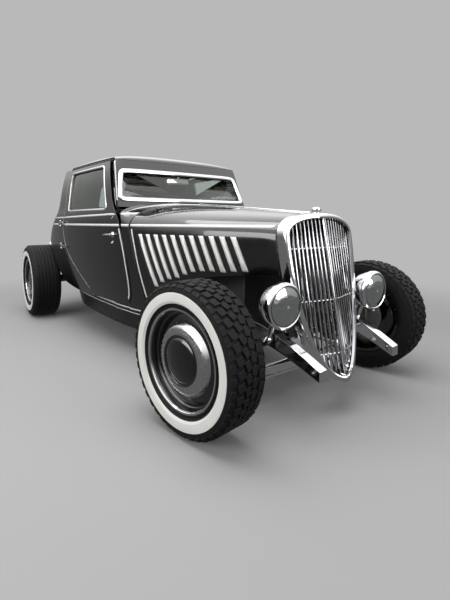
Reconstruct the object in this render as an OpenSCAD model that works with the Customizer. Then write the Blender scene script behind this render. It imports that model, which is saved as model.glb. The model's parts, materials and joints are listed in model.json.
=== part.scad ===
// Full-size chopped three-window coupe hot rod, fenderless, on a dropped front axle.
// Units are millimetres, +X forward, +Y to the car's left, +Z up, tyres standing on Z = 0.
// The origin lies on the ground halfway between the axles.

/* [Chassis] */
// Distance between the front and rear axles
wheelbase = 2845; // [2700:5:3000]
// How far the frame reaches past each axle
overhang = 420; // [400:5:480]
// Height of the frame rails
rail_h = 150; // [110:1:160]
// Width of one frame rail
rail_w = 50; // [40:1:60]
// Steering angle of the front wheels at rest, to the left
rest_steer = 9; // [0:1:12]

/* [Front wheels] */
// Radius of the front tyres
front_tyre_r = 348; // [330:1:355]
// Width of the front tyres
front_tyre_w = 205; // [170:1:215]
// Distance of the front tyres' outer faces from the centre plane
front_face_y = 794; // [780:1:850]
// Radius of the front rims where the tyre sits
front_rim_r = 228; // [200:1:235]

/* [Rear wheels] */
// Radius of the rear tyres
rear_tyre_r = 358; // [340:1:380]
// Width of the rear tyres
rear_tyre_w = 256; // [220:1:262]
// Distance of the rear tyres' outer faces from the centre plane
rear_face_y = 897; // [890:1:960]
// Radius of the rear rims where the tyre sits
rear_rim_r = 216; // [195:1:230]

/* [Body] */
// Half the greatest width of the body
body_half_w = 702; // [650:1:715]
// Height of the body's lower edge
sill_z = 365; // [355:1:380]
// Height of the belt, where the glass begins
belt_z = 1000; // [980:1:1020]
// Height of the roof rail over the doors
rail_z = 1410; // [1370:1:1440]
// Rise of the roof above its rail
roof_rise = 82; // [50:1:120]
// Thickness of the body walls
wall = 26; // [18:1:34]
// Thickness of the doors
door_wall = 40; // [30:1:48]
// Gap around doors and lids
gap = 8; // [7:0.5:9]

/* [Hood and grille] */
// Half the hood's width at the grille
nose_half_w = 262; // [240:1:280]
// Height of the hood's crown at the grille
nose_z = 1000; // [960:1:1030]
// Height of the hood's crown at the cowl
cowl_z = 1085; // [1060:1:1110]
// Thickness of the hood panels
hood_wall = 12; // [8:1:16]
// Height of the grille shell's lowest point
grille_tip_z = 165; // [150:1:220]
// Number of grille bars on each side of the centre
bars_per_side = 9; // [6:1:12]
// Radius of the headlights
lamp_r = 108; // [95:1:110]

/* [Hidden] */
$fn = 48;

front_x = wheelbase / 2;
rear_x = -wheelbase / 2;
paint = "#141416";
steel_paint = "#202022";
bright = "#c8c8cc";
rubber = "#1b1b1b";
seat_colour = "#5b2c22";

// ---------------------------------------------------------------- helpers
function mix(a, b, t) = a + (b - a) * t;
function unit(v) = v / norm(v);
// Smooth curve through points [x, y] sorted by x, flat past both ends
function seg(p, x, i = 0) = i >= len(p) - 2 || x < p[i + 1][0] ? i : seg(p, x, i + 1);
function slope(p, i) =
    let (a = max(i - 1, 0), b = min(i + 1, len(p) - 1)) (p[b][1] - p[a][1]) / (p[b][0] - p[a][0]);
function curve(p, x) =
    x <= p[0][0] ? p[0][1] : x >= p[len(p) - 1][0] ? p[len(p) - 1][1] :
    let (i = seg(p, x), w = p[i + 1][0] - p[i][0], t = (x - p[i][0]) / w)
    p[i][1] * (2 * t * t * t - 3 * t * t + 1) + slope(p, i) * w * (t * t * t - 2 * t * t + t)
    + p[i + 1][1] * (3 * t * t - 2 * t * t * t) + slope(p, i + 1) * w * (t * t * t - t * t);
function steps(a, b, n) = [for (k = [0:n]) mix(a, b, k / n)];
function less_last(v) = [for (k = [0:len(v) - 2]) v[k]];

// Unit normal of a grid of points at one of its crossings
function grid_normal(g, i, j) =
    let (n = len(g) - 1, m = len(g[0]) - 1,
         du = g[min(i + 1, n)][j] - g[max(i - 1, 0)][j],
         dv = g[i][min(j + 1, m)] - g[i][max(j - 1, 0)])
    unit(cross(du, dv));
// Points a wall thickness inside a grid
function inner_grid(g, t) =
    [for (i = [0:len(g) - 1]) [for (j = [0:len(g[0]) - 1]) g[i][j] - t * grid_normal(g, i, j)]];

// Curved panel between a grid of points and the grid inside it, without the cells that keep refuses
module panel(g, t = 0, keep = function (i, j) true, inside = undef) {
    nu = len(g) - 1;
    nv = len(g[0]) - 1;
    back = inside == undef ? inner_grid(g, t) : inside;
    total = (nu + 1) * (nv + 1);
    at = function (i, j, layer) layer * total + i * (nv + 1) + j;
    has = function (i, j) i >= 0 && j >= 0 && i < nu && j < nv && keep(i, j);
    quad = function (a, b, c, d) [[a, b, c], [a, c, d]];
    faces = [for (i = [0:nu - 1]) for (j = [0:nv - 1]) if (has(i, j))
        let (a = at(i, j, 0), b = at(i, j + 1, 0), c = at(i + 1, j + 1, 0), d = at(i + 1, j, 0),
             e = at(i, j, 1), f = at(i, j + 1, 1), h = at(i + 1, j + 1, 1), k = at(i + 1, j, 1))
        each concat(quad(a, b, c, d), quad(e, k, h, f),
            has(i, j - 1) ? [] : quad(a, d, k, e),
            has(i, j + 1) ? [] : quad(c, b, f, h),
            has(i - 1, j) ? [] : quad(b, a, e, f),
            has(i + 1, j) ? [] : quad(d, c, h, k))];
    polyhedron(points = concat([for (row = g) each row], [for (row = back) each row]),
        faces = faces, convexity = 6);
}

module on_right() { mirror([0, 1, 0]) children(); }
module rod(a, b, r) {
    v = b - a;
    translate(a) rotate([0, acos(v[2] / norm(v)), atan2(v[1], v[0])])
        cylinder(r = r, h = norm(v));
}
module along_y(r, y0, y1) { translate([0, y1, 0]) rotate([90, 0, 0]) cylinder(r = r, h = y1 - y0); }
// Extrudes a profile drawn as [x, z] between two y places
module side_slab(pts, y0, y1) {
    translate([0, y1, 0]) rotate([90, 0, 0]) linear_extrude(y1 - y0) polygon(pts);
}

// ---------------------------------------------------------------- body surface
// Places along the car are given as b, the distance behind the front axle
face_x = 152;
shell_len = 60;
nose_slope = 0.157;
nose_b = gap + shell_len - face_x;
hood_end_b = 1000;
glass_b = 1175;
widest_b = 2300;
tail_b = wheelbase + overhang - 12;
glass_rake = 0.38;

// Half width in plan, at shoulder height
function plan(b) = curve([[nose_b, nose_half_w], [350, 392], [hood_end_b, 566], [1500, 648],
    [2000, body_half_w - 8], [widest_b, body_half_w]], b);
// Share of the plan width at each height: tucked in below, leaning in above the belt
function share(z) = curve([[sill_z, 0.945], [470, 0.975], [650, 1], [860, 1], [belt_z, 0.985],
    [belt_z + 60, 0.965], [rail_z - 120, 0.915], [rail_z, 0.87]], z);
// Rearmost place of the body at each height
function tail(z) = curve([[sill_z, tail_b - 60], [480, tail_b - 14], [600, tail_b], [720, tail_b - 36],
    [830, tail_b - 110], [915, tail_b - 230], [belt_z - 15, tail_b - 400], [belt_z + 35, tail_b - 560],
    [belt_z + 90, tail_b - 640], [belt_z + 200, tail_b - 700], [rail_z, tail_b - 775]], z);
corner_n = 3.2;
// Point on the cabin side
function side_point(b, z) = [front_x - b, plan(b) * share(z), z];
// Point round the tail, where s is its share of the half width, 1 on the left and -1 on the right
function rear_point(s, z) =
    [front_x - widest_b - (tail(z) - widest_b) * pow(max(0, 1 - pow(abs(s), corner_n)), 1 / corner_n),
     body_half_w * share(z) * s, z];
// Share of the width at an angle round the corner, 0 at its start and 90 on the centre line
function corner_share(angle) = pow(cos(angle), 2 / corner_n);
function rear_normal(s, z) =
    let (d = 0.01, e = 4)
    unit(cross(rear_point(max(-1, s - d), z) - rear_point(min(1, s + d), z),
               rear_point(s, z + e) - rear_point(s, z - e)));

// Hood and cowl sections: sides up to the shoulder, then a crown
function crown(b) = mix(nose_z, cowl_z, (b - nose_b) / (hood_end_b - nose_b));
function shoulder(b) = curve([[nose_b, 870], [hood_end_b, 912], [glass_b, belt_z + 8]], b);
function crown_top(b) = min(crown(b), cowl_z + 8);
crown_n = 2.3;
half_seam = 6;
// Point on the crown at an angle from the shoulder, 90 on the centre line
function crown_point(b, a) =
    [front_x - b, max(half_seam, plan(b) * share(shoulder(b)) * pow(max(0, cos(a)), 2 / crown_n)),
     shoulder(b) + (crown_top(b) - shoulder(b)) * pow(sin(a), 2 / crown_n)];
// Height of the crown over a place y off the centre plane
function crown_z(b, y) =
    let (w = plan(b) * share(shoulder(b)))
    shoulder(b) + (crown_top(b) - shoulder(b)) * pow(max(0, 1 - pow(min(1, abs(y) / w), crown_n)), 1 / crown_n);
function hood_low(b) = curve([[nose_b, 690], [300, 655], [720, 575], [860, 500], [hood_end_b - 30, 430]], b);
// Slanted ends of the hood
function hood_front(z) = nose_b - (912 - z) * nose_slope;
function hood_rear(z) = hood_end_b - max(0, 940 - z) * 0.28;
// Door edges
function door_front(z) = z > belt_z + 92 ? glass_b + (z - 1092) * glass_rake + 64 :
    curve([[sill_z, 1075], [430, 1022], [520, 1008], [700, 1034], [900, 1098], [belt_z, 1152],
        [belt_z + 40, 1200], [belt_z + 66, 1225], [belt_z + 92, glass_b + 64]], z);
function door_rear(z) = curve([[sill_z, 1560], [450, 1680], [600, 1915], [700, 2050], [800, 2130],
    [900, 2160], [rail_z, 2160]], z);

// Gap along the car that leaves the full gap square to a slanted door edge
function front_gap(z) = gap * sqrt(1 + pow((door_front(z + 5) - door_front(z - 5)) / 10, 2));
function rear_gap(z) = gap * sqrt(1 + pow((door_rear(z + 5) - door_rear(z - 5)) / 10, 2));

// ---------------------------------------------------------------- body panels
// Edges of doors and their openings slant rearwards by this share of their depth
edge_lean = 0.35;
// A grid moved inwards by the depth that each height has, along its normals and the edges' slant
function sunk(g, depth, lean = edge_lean) =
    [for (i = [0:len(g) - 1]) [for (j = [0:len(g[0]) - 1])
        g[i][j] - depth(g[i][j][2]) * (grid_normal(g, i, j) + [lean, 0, 0])]];
function part_of(g, i0, i1, j0, j1) = [for (i = [i0:i1]) [for (j = [j0:j1]) g[i][j]]];

low_heights = steps(sill_z + 10, 900, 9);
door_heights = concat(low_heights, [belt_z - 30, belt_z + 45], steps(belt_z + 90, rail_z - 90, 4),
    [rail_z - 45, rail_z - gap]);
door_shares = [0, 0.05, 0.11, 0.2, 0.31, 0.44, 0.57, 0.7, 0.81, 0.89, 0.95, 1];
window_i = [2, 9];
window_j = [len(low_heights) + 1, len(low_heights) + 7];
door_grid = [for (u = door_shares) [for (z = door_heights)
    side_point(mix(door_front(z) + front_gap(z) / 2, door_rear(z) - rear_gap(z) / 2, u), z)]];
function door_depth(z) = z > belt_z + 20 ? door_wall * 0.7 : door_wall;
module door() {
    panel(door_grid, keep = function (i, j)
        !(i >= window_i[0] && i < window_i[1] && j >= window_j[0] && j < window_j[1]),
        inside = sunk(door_grid, function (z) door_depth(z)));
}
module door_left() { color(paint) door(); }
module door_right() { color(paint) on_right() door(); }

glass_t = 5;
glass_depth = 11;
glass_colour = "#9fb4bf";
module side_glass() {
    outer = sunk(door_grid, function (z) glass_depth);
    inner = sunk(door_grid, function (z) glass_depth + glass_t);
    panel(part_of(outer, window_i[0], window_i[1], window_j[0], window_j[1]),
        inside = part_of(inner, window_i[0], window_i[1], window_j[0], window_j[1]));
}
module door_glass_left() { color(glass_colour, 0.35) side_glass(); }
module door_glass_right() { color(glass_colour, 0.35) on_right() side_glass(); }

lid_share = 0.72;
lid_heights = [640, 710, 780, 840];
rear_heights = concat([900, 950, belt_z - 15, belt_z + 20, belt_z + 50],
    steps(belt_z + 100, rail_z - 95, 3), [rail_z - 45, rail_z]);
// Lower edge of the quarter: sill, wheel arch and tail
arch_r = rear_tyre_r + 45;
function quarter_low(b, s) =
    let (d = b - wheelbase, arch = abs(d) < arch_r ? rear_tyre_r + sqrt(arch_r * arch_r - d * d) : 0,
         edge = curve([[2050, sill_z], [2310, 425], [2450, 530], [2540, 630], [3050, 590], [tail_b - 124, 530],
            [tail_b, 512]], b))
    mix(edge, max(arch, edge), min(1, max(0, (s - 0.8) / 0.1)));
module quarter() {
    flat_cols = 7;
    corner_end = acos(pow(lid_share + 0.0005, corner_n / 2));
    cols = concat([for (k = [0:flat_cols - 1]) [1, k / flat_cols]],
        [for (a = steps(0, corner_end, 13)) [corner_share(a), 1]]);
    point = function (c, z) c[1] == 1 ? rear_point(c[0], z) :
        side_point(mix(door_rear(z) + rear_gap(z) / 2, widest_b, c[1]), z);
    normal = function (c, z) c[0] < 1 ? rear_normal(c[0], z) :
        let (k = min(c[1], 0.97))
        unit(cross(point([1, k + 0.02], z) - point([1, max(0, k - 0.02)], z),
                   point([1, k], z + 3) - point([1, k], z - 3)));
    low = [for (c = cols) max(sill_z, quarter_low(front_x - point(c, 600)[0], c[0]))];
    low_rows = len(low_heights) - 1;
    height = function (i, j) j >= low_rows ? rear_heights[j - low_rows] :
        mix(low[i], 900, (low_heights[j] - low_heights[0]) / (900 - low_heights[0]));
    rows = low_rows + len(rear_heights) - 1;
    grid = [for (i = [0:len(cols) - 1]) [for (j = [0:rows]) point(cols[i], height(i, j))]];
    inner = [for (i = [0:len(cols) - 1]) [for (j = [0:rows])
        grid[i][j] - wall * (normal(cols[i], height(i, j))
            + [i < flat_cols ? edge_lean * (1 - i / flat_cols) : 0, 0, 0])]];
    panel(grid, inside = inner);
}
module quarter_left() { color(paint) quarter(); }
module quarter_right() { color(paint) on_right() quarter(); }

// Rear patches cross the centre line between the quarters
rear_cols = 12;
lid_low = 575;
lid_high = belt_z + 20;
function rear_grid(heights, edge) = [for (s = steps(edge, -edge, rear_cols)) [for (z = heights) rear_point(s, z)]];
function rear_sunk(heights, edge, depth) =
    [for (s = steps(edge, -edge, rear_cols)) [for (z = heights) rear_point(s, z) - depth * rear_normal(s, z)]];
panel_heights = [for (z = rear_heights) if (z >= lid_high) z];
module window_panel() {
    color(paint) panel(rear_grid(panel_heights, lid_share),
        keep = function (i, j) !(i >= 3 && i < rear_cols - 3 && j >= 2 && j < 5),
        inside = rear_sunk(panel_heights, lid_share, wall));
}
module rear_glass() {
    color(glass_colour, 0.35)
        panel(part_of(rear_sunk(panel_heights, lid_share, glass_depth), 3, rear_cols - 3, 2, 5),
            inside = part_of(rear_sunk(panel_heights, lid_share, glass_depth + glass_t), 3, rear_cols - 3, 2, 5));
}
module deck_lid() {
    edge = lid_share - gap / body_half_w;
    heights = concat([lid_low + gap / 2], lid_heights, [for (z = rear_heights) if (z < lid_high - 5) z],
        [lid_high - gap * 0.3]);
    color(paint) panel(rear_grid(heights, edge), inside = rear_sunk(heights, edge, wall * 0.7));
}
module tail_panel() {
    heights = [512, 535, lid_low - gap / 2];
    color(paint) panel(rear_grid(heights, lid_share), inside = rear_sunk(heights, lid_share, wall));
}

// Roof over the rails, from the windshield header round to the window panel
roof_front_b = glass_b + (rail_z - 1092) * glass_rake;
function roof_point(s, t) =
    let (rear = widest_b + (tail(rail_z) - widest_b) * pow(max(0, 1 - pow(abs(s), corner_n)), 1 / corner_n),
         b = mix(roof_front_b, rear, t), side = plan(b) * share(rail_z) * s,
         rise = pow(max(0, 1 - pow(abs(s), 2.8)), 0.45) * pow(max(0, 1 - pow(abs(2 * t - 1), 3.2)), 0.5))
    [front_x - b, side, rail_z + roof_rise * rise];
function ease(k) = let (x = 2 * k - 1) 0.5 + 0.5 * sign(x) * (1 - pow(1 - abs(x), 1.7));
module roof() {
    n = 18;
    m = 22;
    grid = [for (k = [0:n]) let (s = 1 - 2 * ease(k / n)) [for (q = [0:m]) roof_point(s, 1 - ease(q / m))]];
    middle = [front_x - 1850, 0, rail_z];
    inner = [for (i = [0:n]) [for (j = [0:m])
        let (p = grid[i][j], edge = i == 0 || i == n || j == 0 || j == m,
             q = p - wall * (edge ? unit([p[0] - middle[0], p[1], 0]) : grid_normal(grid, i, j)))
        [q[0], q[1], max(q[2], rail_z)]]];
    color(paint) panel(grid, inside = inner);
}

// Windshield: a leaning slab that stands on the cowl, with its opening and header
ws_low = 1092;
slab_t = 46;
lean = atan(glass_rake);
slab_h = (rail_z - 0.4 - ws_low) / cos(lean);
slab_low_w = plan(glass_b) * share(ws_low) - 2;
slab_high_w = plan(roof_front_b) * share(rail_z) - 2;
opening = [[30, -slab_low_w + 42], [42, -slab_low_w + 30], [slab_h - 112, -slab_high_w + 30],
    [slab_h - 98, -slab_high_w + 44], [slab_h - 92, -slab_high_w + 120], [slab_h - 90, 0],
    [slab_h - 92, slab_high_w - 120], [slab_h - 98, slab_high_w - 44], [slab_h - 112, slab_high_w - 30],
    [42, slab_low_w - 30], [30, slab_low_w - 42], [30, 0]];
module on_slab() {
    translate([front_x - glass_b, 0, ws_low]) rotate([0, -lean, 0]) rotate([0, -90, 0]) mirror([0, 1, 0])
        children();
}
module windshield_frame() {
    foot = [for (k = [-6:6]) let (y = k / 6 * slab_low_w)
        [(max(crown_z(glass_b, y), ws_low - 28) - 6 - ws_low) / cos(lean), y]];
    color(paint) on_slab() linear_extrude(slab_t) difference() {
        polygon(concat(foot, [[slab_h - 30, slab_high_w + 2], [slab_h, slab_high_w - 4],
            [slab_h, -slab_high_w + 4], [slab_h - 30, -slab_high_w - 2]]));
        polygon(opening);
    }
}
module windshield_glass() {
    color(glass_colour, 0.35) on_slab() translate([0, 0, 18]) linear_extrude(6) polygon(opening);
}

// Cowl between the hood and the doors
module cowl() {
    angles = steps(0, 90, 9);
    cols = 4;
    side_b = function (z, k) mix(hood_rear(z) + gap, door_front(z) - front_gap(z) / 2, k / cols);
    top_b = function (a, k) mix(hood_end_b + gap,
        mix(door_front(900) - front_gap(900) / 2,
            glass_b + (crown_point(glass_b, a)[2] - 7 - ws_low) * glass_rake - 0.6, min(1, a / 18)), k / cols);
    left = [for (k = [0:cols]) concat(
        [for (z = concat([sill_z], low_heights)) side_point(side_b(z, k), z)],
        [for (a = angles) let (p = crown_point(top_b(a, k), a)) [p[0], a == 90 ? 0 : p[1], p[2]]])];
    last = len(left[0]) - 1;
    grid = [for (row = left) concat(row, [for (j = [last - 1:-1:0]) [row[j][0], -row[j][1], row[j][2]]])];
    color(paint) panel(grid, wall * 0.8);
}

// Hood halves, hinged along the centre line
module hood_half() {
    rows = 7;
    cols = 16;
    angles = steps(0, 90, 8);
    end_b = function (z, k) mix(hood_front(z), hood_rear(z), k / cols);
    grid = [for (k = [0:cols]) let (b = mix(nose_b, hood_end_b, k / cols)) concat(
        [for (r = [0:rows - 1]) let (z = mix(hood_low(b), shoulder(b), r / rows)) side_point(end_b(z, k), z)],
        [for (a = angles) crown_point(end_b(crown_point(b, a)[2], k), a)])];
    panel(grid, hood_wall);
}
module hood_left() { color(paint) hood_half(); }
module hood_right() { color(paint) on_right() hood_half(); }
// Height of the hood's hinge axis
function hinge_z(x) = crown(front_x - x) + 2;
// Exposed hinges: pins and brackets on the body, barrels and straps on the doors and the lid
pin_r = 4;
pin_bore = 4.05;
door_axis_b = 2170;
door_axis_y = body_half_w * 0.995 + 18;
door_hinge_z = [740, 940];
barrel_h = 30;
module door_pin(z) {
    face = side_point(door_axis_b + 50, z - 26)[1] + 0.3;
    translate([front_x - door_axis_b, door_axis_y, z]) {
        cylinder(r = pin_r, h = 52, center = true);
        for (up = [-1, 1]) translate([0, 0, up * 21]) {
            cylinder(r = 9, h = 10, center = true);
            translate([-30, -9, -5]) cube([30, 14, 10]);
        }
    }
    translate([front_x - door_axis_b - 50, face, z - 26]) cube([34, door_axis_y + 5 - face, 52]);
}
module door_strap(z) {
    face = side_point(door_rear(z) - rear_gap(z) - 12, z - 15)[1] + 0.3;
    pad = front_x - door_rear(z) + rear_gap(z);
    difference() {
        union() {
            translate([front_x - door_axis_b, door_axis_y, z]) cylinder(r = 9, h = barrel_h, center = true);
            translate([front_x - door_axis_b, door_axis_y - 9, z - barrel_h / 2])
                cube([door_axis_b - front_x + pad + 45, 7, barrel_h]);
            translate([pad + 15, face, z - barrel_h / 2]) cube([30, door_axis_y - 5 - face, barrel_h]);
        }
        translate([front_x - door_axis_b, door_axis_y, z]) cylinder(r = pin_bore, h = 60, center = true);
    }
}
module door_hinges() { for (z = door_hinge_z) door_strap(z); }
module door_hinges_left() { color(bright) door_hinges(); }
module door_hinges_right() { color(bright) on_right() door_hinges(); }
lid_axis_b = 2748;
lid_axis_z = 1034;
lid_hinge_y = 260;
// Outline that lies on the tail surface between two heights
function deck_line(z0, z1, y, n = 4) = [for (z = steps(z0, z1, n))
    let (p = rear_point((abs(y) - 6) / (body_half_w * share(z)), z)) [p[0] - 0.2, z + 0.4]];
function bracket_line(y) = let (p = deck_line(belt_z + 50, lid_high, y, 1)) [p[0], mix(p[1], p[0], 0.2)];
module lid_hinges() {
    axis = [front_x - lid_axis_b, lid_axis_z];
    color(bright) for (side = [-1, 1]) difference() {
        union() {
            side_slab(concat(deck_line(lid_high - 8, lid_high - 50, lid_hinge_y - 14),
                [[axis[0] - 120, axis[1] - 30], [axis[0] - 20, axis[1] + 4], [axis[0], axis[1] + 7],
                    [axis[0], axis[1] - 4]]), side * lid_hinge_y - 18, side * lid_hinge_y + 18);
            translate([axis[0], 0, axis[1]]) along_y(8, side * lid_hinge_y - 18, side * lid_hinge_y + 18);
        }
        translate([axis[0], 0, axis[1]]) along_y(pin_bore, side * lid_hinge_y - 30, side * lid_hinge_y + 30);
    }
}
module hinge_pins() {
    axis = [front_x - lid_axis_b, lid_axis_z];
    strip_front = edge_x(nose_z) - shell_len - 0.4;
    strip_rear = front_x - hood_end_b - gap + 0.3;
    color(bright) {
        for (z = door_hinge_z) {
            door_pin(z);
            on_right() door_pin(z);
        }
        for (side = [-1, 1]) {
            translate([axis[0], 0, axis[1]]) along_y(pin_r, side * lid_hinge_y - 30, side * lid_hinge_y + 30);
            for (cheek = [-25, 25]) {
                translate([axis[0], 0, axis[1]])
                    along_y(8, side * lid_hinge_y + cheek - 5, side * lid_hinge_y + cheek + 5);
                side_slab(concat([[axis[0] - 4, axis[1] - 5], [axis[0] - 4, axis[1] + 7]],
                    [[axis[0] + 18, axis[1] + 10], [axis[0] + 60, axis[1] + 12]],
                    bracket_line(lid_hinge_y + side * cheek)),
                    side * lid_hinge_y + cheek - 5, side * lid_hinge_y + cheek + 5);
            }
        }
        union() {
            side_slab([[strip_front, nose_z - 1], [strip_rear, cowl_z - 1], [strip_rear, cowl_z - 12],
                [strip_front, nose_z - 12]], -5, 5);
            rod([strip_front, 0, hinge_z(strip_front)], [strip_rear, 0, hinge_z(strip_rear)], pin_r);
        }
    }
}

// ---------------------------------------------------------------- grille
shell_top = 880;
function edge_x(z) = front_x + face_x + (912 - z) * nose_slope;
function prow(z) = 38 + (999 - z) * 0.054;
function shell_face(y, z) = edge_x(z) + prow(z) * (1 - abs(y) / nose_half_w);
function outline(a) = a >= 0 ?
    [nose_half_w * pow(max(0, cos(a)), 0.83), shell_top + (nose_z - shell_top) * pow(sin(a), 0.83)] :
    [nose_half_w * pow(max(0, cos(a)), 0.9), shell_top + (shell_top - grille_tip_z) * sin(a)];
function shell_depth(z) = z > 690 ? shell_len : mix(30, shell_len, (z - grille_tip_z) / (690 - grille_tip_z));
lip = 30;
module grille_shell() {
    angles = concat(steps(-90, -30, 9), steps(-24, 0, 3), steps(12, 90, 7));
    half = [for (a = angles) outline(a)];
    ring = concat(half, [for (k = [len(half) - 2:-1:1]) [-half[k][0], half[k][1]]]);
    n = len(ring);
    normal = function (k) let (d = ring[(k + 1) % n] - ring[(k + n - 1) % n]) unit([d[1], -d[0]]);
    behind = -1;
    // each step of the rim: distance inside the outline, distance behind the face
    rim = [[lip, 16], [lip - 3, 2], [lip - 9, 0], [9, 0], [2, 5], [0, 14], [0, behind]];
    point = function (k, r) let (p = ring[k % n] - r[0] * normal(k % n))
        [r[1] == behind ? edge_x(p[1]) - shell_depth(ring[k % n][1]) : shell_face(p[0], p[1]) - r[1], p[0], p[1]];
    inset = [[lip - 6, 18], [lip - 8, 9], [lip - 11, 7], [12, 7], [9, 11], [7, 17], [7, behind]];
    outer = [for (k = [0:n - 1]) [for (r = rim) point(k, r)]];
    inner = [for (k = [0:n - 1]) [for (r = inset) point(k, r)]];
    m = len(rim);
    at = function (k, j, layer) layer * n * m + (k % n) * m + j;
    quad = function (a, b, c, d) [[a, b, c], [a, c, d]];
    faces = [for (k = [0:n - 1]) each concat(
        [for (j = [0:m - 2]) each quad(at(k, j, 0), at(k + 1, j, 0), at(k + 1, j + 1, 0), at(k, j + 1, 0))],
        [for (j = [0:m - 2]) each quad(at(k, j, 1), at(k, j + 1, 1), at(k + 1, j + 1, 1), at(k + 1, j, 1))],
        quad(at(k, 0, 0), at(k, 0, 1), at(k + 1, 0, 1), at(k + 1, 0, 0)),
        quad(at(k, m - 1, 0), at(k + 1, m - 1, 0), at(k + 1, m - 1, 1), at(k, m - 1, 1)))];
    color(bright) polyhedron(points = concat([for (row = outer) each row], [for (row = inner) each row]),
        faces = faces, convexity = 6);
}
// Heights where a vertical line at y meets the outline, drawn in by d
function outline_low(y, d) = let (c = pow(min(1, (abs(y) + d) / nose_half_w), 1 / 0.9))
    shell_top - (shell_top - grille_tip_z - d * 1.6) * sqrt(max(0, 1 - c * c));
function outline_high(y, d) = let (c = pow(min(1, (abs(y) + d) / nose_half_w), 1 / 0.83))
    shell_top + (nose_z - shell_top - d) * pow(max(0, 1 - c * c), 0.415);
bar_w = 6;
bar_depth = 14;
bar_set = 20;
module grille_bars() {
    spacing = (nose_half_w - lip - 2) / (bars_per_side + 0.35);
    ties = [300, 560, 820];
    color(bright) union() {
        for (k = [-bars_per_side:bars_per_side]) let (y = k * spacing,
            z0 = outline_low(y, lip - 8), z1 = outline_high(y, lip - 12))
            side_slab([[shell_face(y, z0) - bar_set, z0], [shell_face(y, z1) - bar_set, z1],
                [shell_face(y, z1) - bar_set - bar_depth, z1], [shell_face(y, z0) - bar_set - bar_depth, z0]],
                y - bar_w / 2, y + bar_w / 2);
        for (z = ties) for (side = [-1, 1]) let (w = outline_w(z) - 10)
            rod([shell_face(0, z) - bar_set - bar_depth, 0, z],
                [shell_face(w, z) - bar_set - bar_depth, side * w, z], 4);
    }
}
function outline_w(z) = z > shell_top ? nose_half_w :
    nose_half_w * pow(max(0, 1 - pow((shell_top - z) / (shell_top - grille_tip_z), 2)), 0.45);
module radiator() {
    color("#2a2a2c") translate([front_x + 22, -185, spring_z + 64]) cube([62, 370, 470]);
}

// ---------------------------------------------------------------- wheels
// Profile of half a tyre section as [radius, half width]
module tyre(r, w, rim) {
    h = w / 2;
    bead = bead_share * w;
    side = [[rim + 0.2, bead - 0.4], [rim + 9, bead + 3.4], [rim + 10, bead + 9], [mix(rim, r, 0.28), h * 0.985], [mix(rim, r, 0.45), h],
        [mix(rim, r, 0.68), h * 0.985], [mix(rim, r, 0.84), h * 0.93], [r - 13, h * 0.865],
        [r - 4, h * 0.8], [r, h * 0.66]];
    pts = concat(side, [for (k = [len(side) - 1:-1:0]) [side[k][0], -side[k][1]]]);
    rotate([90, 0, 0]) rotate_extrude($fn = 96) polygon(pts);
}
// Half the rim width, as a share of the tyre width
bead_share = 0.36;
hub_bore = 17.55;
spindle_r = 17.5;
// Pressed steel wheel centred on the tyre, outer face towards +Y
module steel_wheel(rim, w, face) {
    h = w * bead_share;
    rotate([-90, 0, 0]) rotate_extrude($fn = 96) polygon([[rim - 0, -h], [rim, h], [rim + 9, h + 4],
        [rim + 9, h + 12], [rim - 7, h + 12], [rim - 12, h], [rim - 16, h - 30], [rim - 24, face + 12],
        [rim - 60, face + 22], [120, face + 24], [95, face + 10], [70, face + 8], [70, face + 30],
        [hub_bore, face + 30], [hub_bore, face - 60], [62, face - 60], [62, face - 14], [110, face - 2],
        [rim - 60, face + 10], [rim - 30, face], [rim - 22, face - 30], [rim - 12, -h],
        [rim - 7, -h - 12], [rim + 9, -h - 12], [rim + 9, -h - 4]]);
}
module hubcap(face, r) {
    rotate([-90, 0, 0]) rotate_extrude($fn = 72) polygon([[0, face + 64], [r * 0.3, face + 61],
        [r * 0.55, face + 52], [r * 0.62, face + 44], [r * 0.68, face + 50], [r * 0.9, face + 42],
        [r, face + 22.2], [r - 6, face + 22.6], [r * 0.88, face + 36], [r * 0.6, face + 38],
        [r * 0.5, face + 46], [r * 0.28, face + 54], [0, face + 56]]);
}
front_y = front_face_y - front_tyre_w / 2;
rear_y = rear_face_y - rear_tyre_w / 2;
kingpin_y = 572;
front_face = 34;
rear_face = 44;
function cap_r(rim) = rim - 60;
// Turns a left front part about its kingpin by the rest angle
module steered(side) {
    translate([front_x, side * kingpin_y, 0]) rotate([0, 0, rest_steer])
        translate([0, -side * kingpin_y, 0]) children();
}
module front_left() { steered(1) translate([0, front_y, front_tyre_r]) children(); }
module front_right() { steered(-1) translate([0, -front_y, front_tyre_r]) mirror([0, 1, 0]) children(); }
module rear_left() { translate([rear_x, rear_y, rear_tyre_r]) children(); }
module rear_right() { translate([rear_x, -rear_y, rear_tyre_r]) mirror([0, 1, 0]) children(); }
module tyre_front_left() { color(rubber) front_left() tyre(front_tyre_r, front_tyre_w, front_rim_r); }
module tyre_front_right() { color(rubber) front_right() tyre(front_tyre_r, front_tyre_w, front_rim_r); }
module tyre_rear_left() { color(rubber) rear_left() tyre(rear_tyre_r, rear_tyre_w, rear_rim_r); }
module tyre_rear_right() { color(rubber) rear_right() tyre(rear_tyre_r, rear_tyre_w, rear_rim_r); }
module wheel_front_left() { color(steel_paint) front_left() steel_wheel(front_rim_r, front_tyre_w, front_face); }
module wheel_front_right() { color(steel_paint) front_right() steel_wheel(front_rim_r, front_tyre_w, front_face); }
module wheel_rear_left() { color(steel_paint) rear_left() steel_wheel(rear_rim_r, rear_tyre_w, rear_face); }
module wheel_rear_right() { color(steel_paint) rear_right() steel_wheel(rear_rim_r, rear_tyre_w, rear_face); }
module hubcap_front_left() { color(bright) front_left() hubcap(front_face, cap_r(front_rim_r)); }
module hubcap_front_right() { color(bright) front_right() hubcap(front_face, cap_r(front_rim_r)); }
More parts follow.
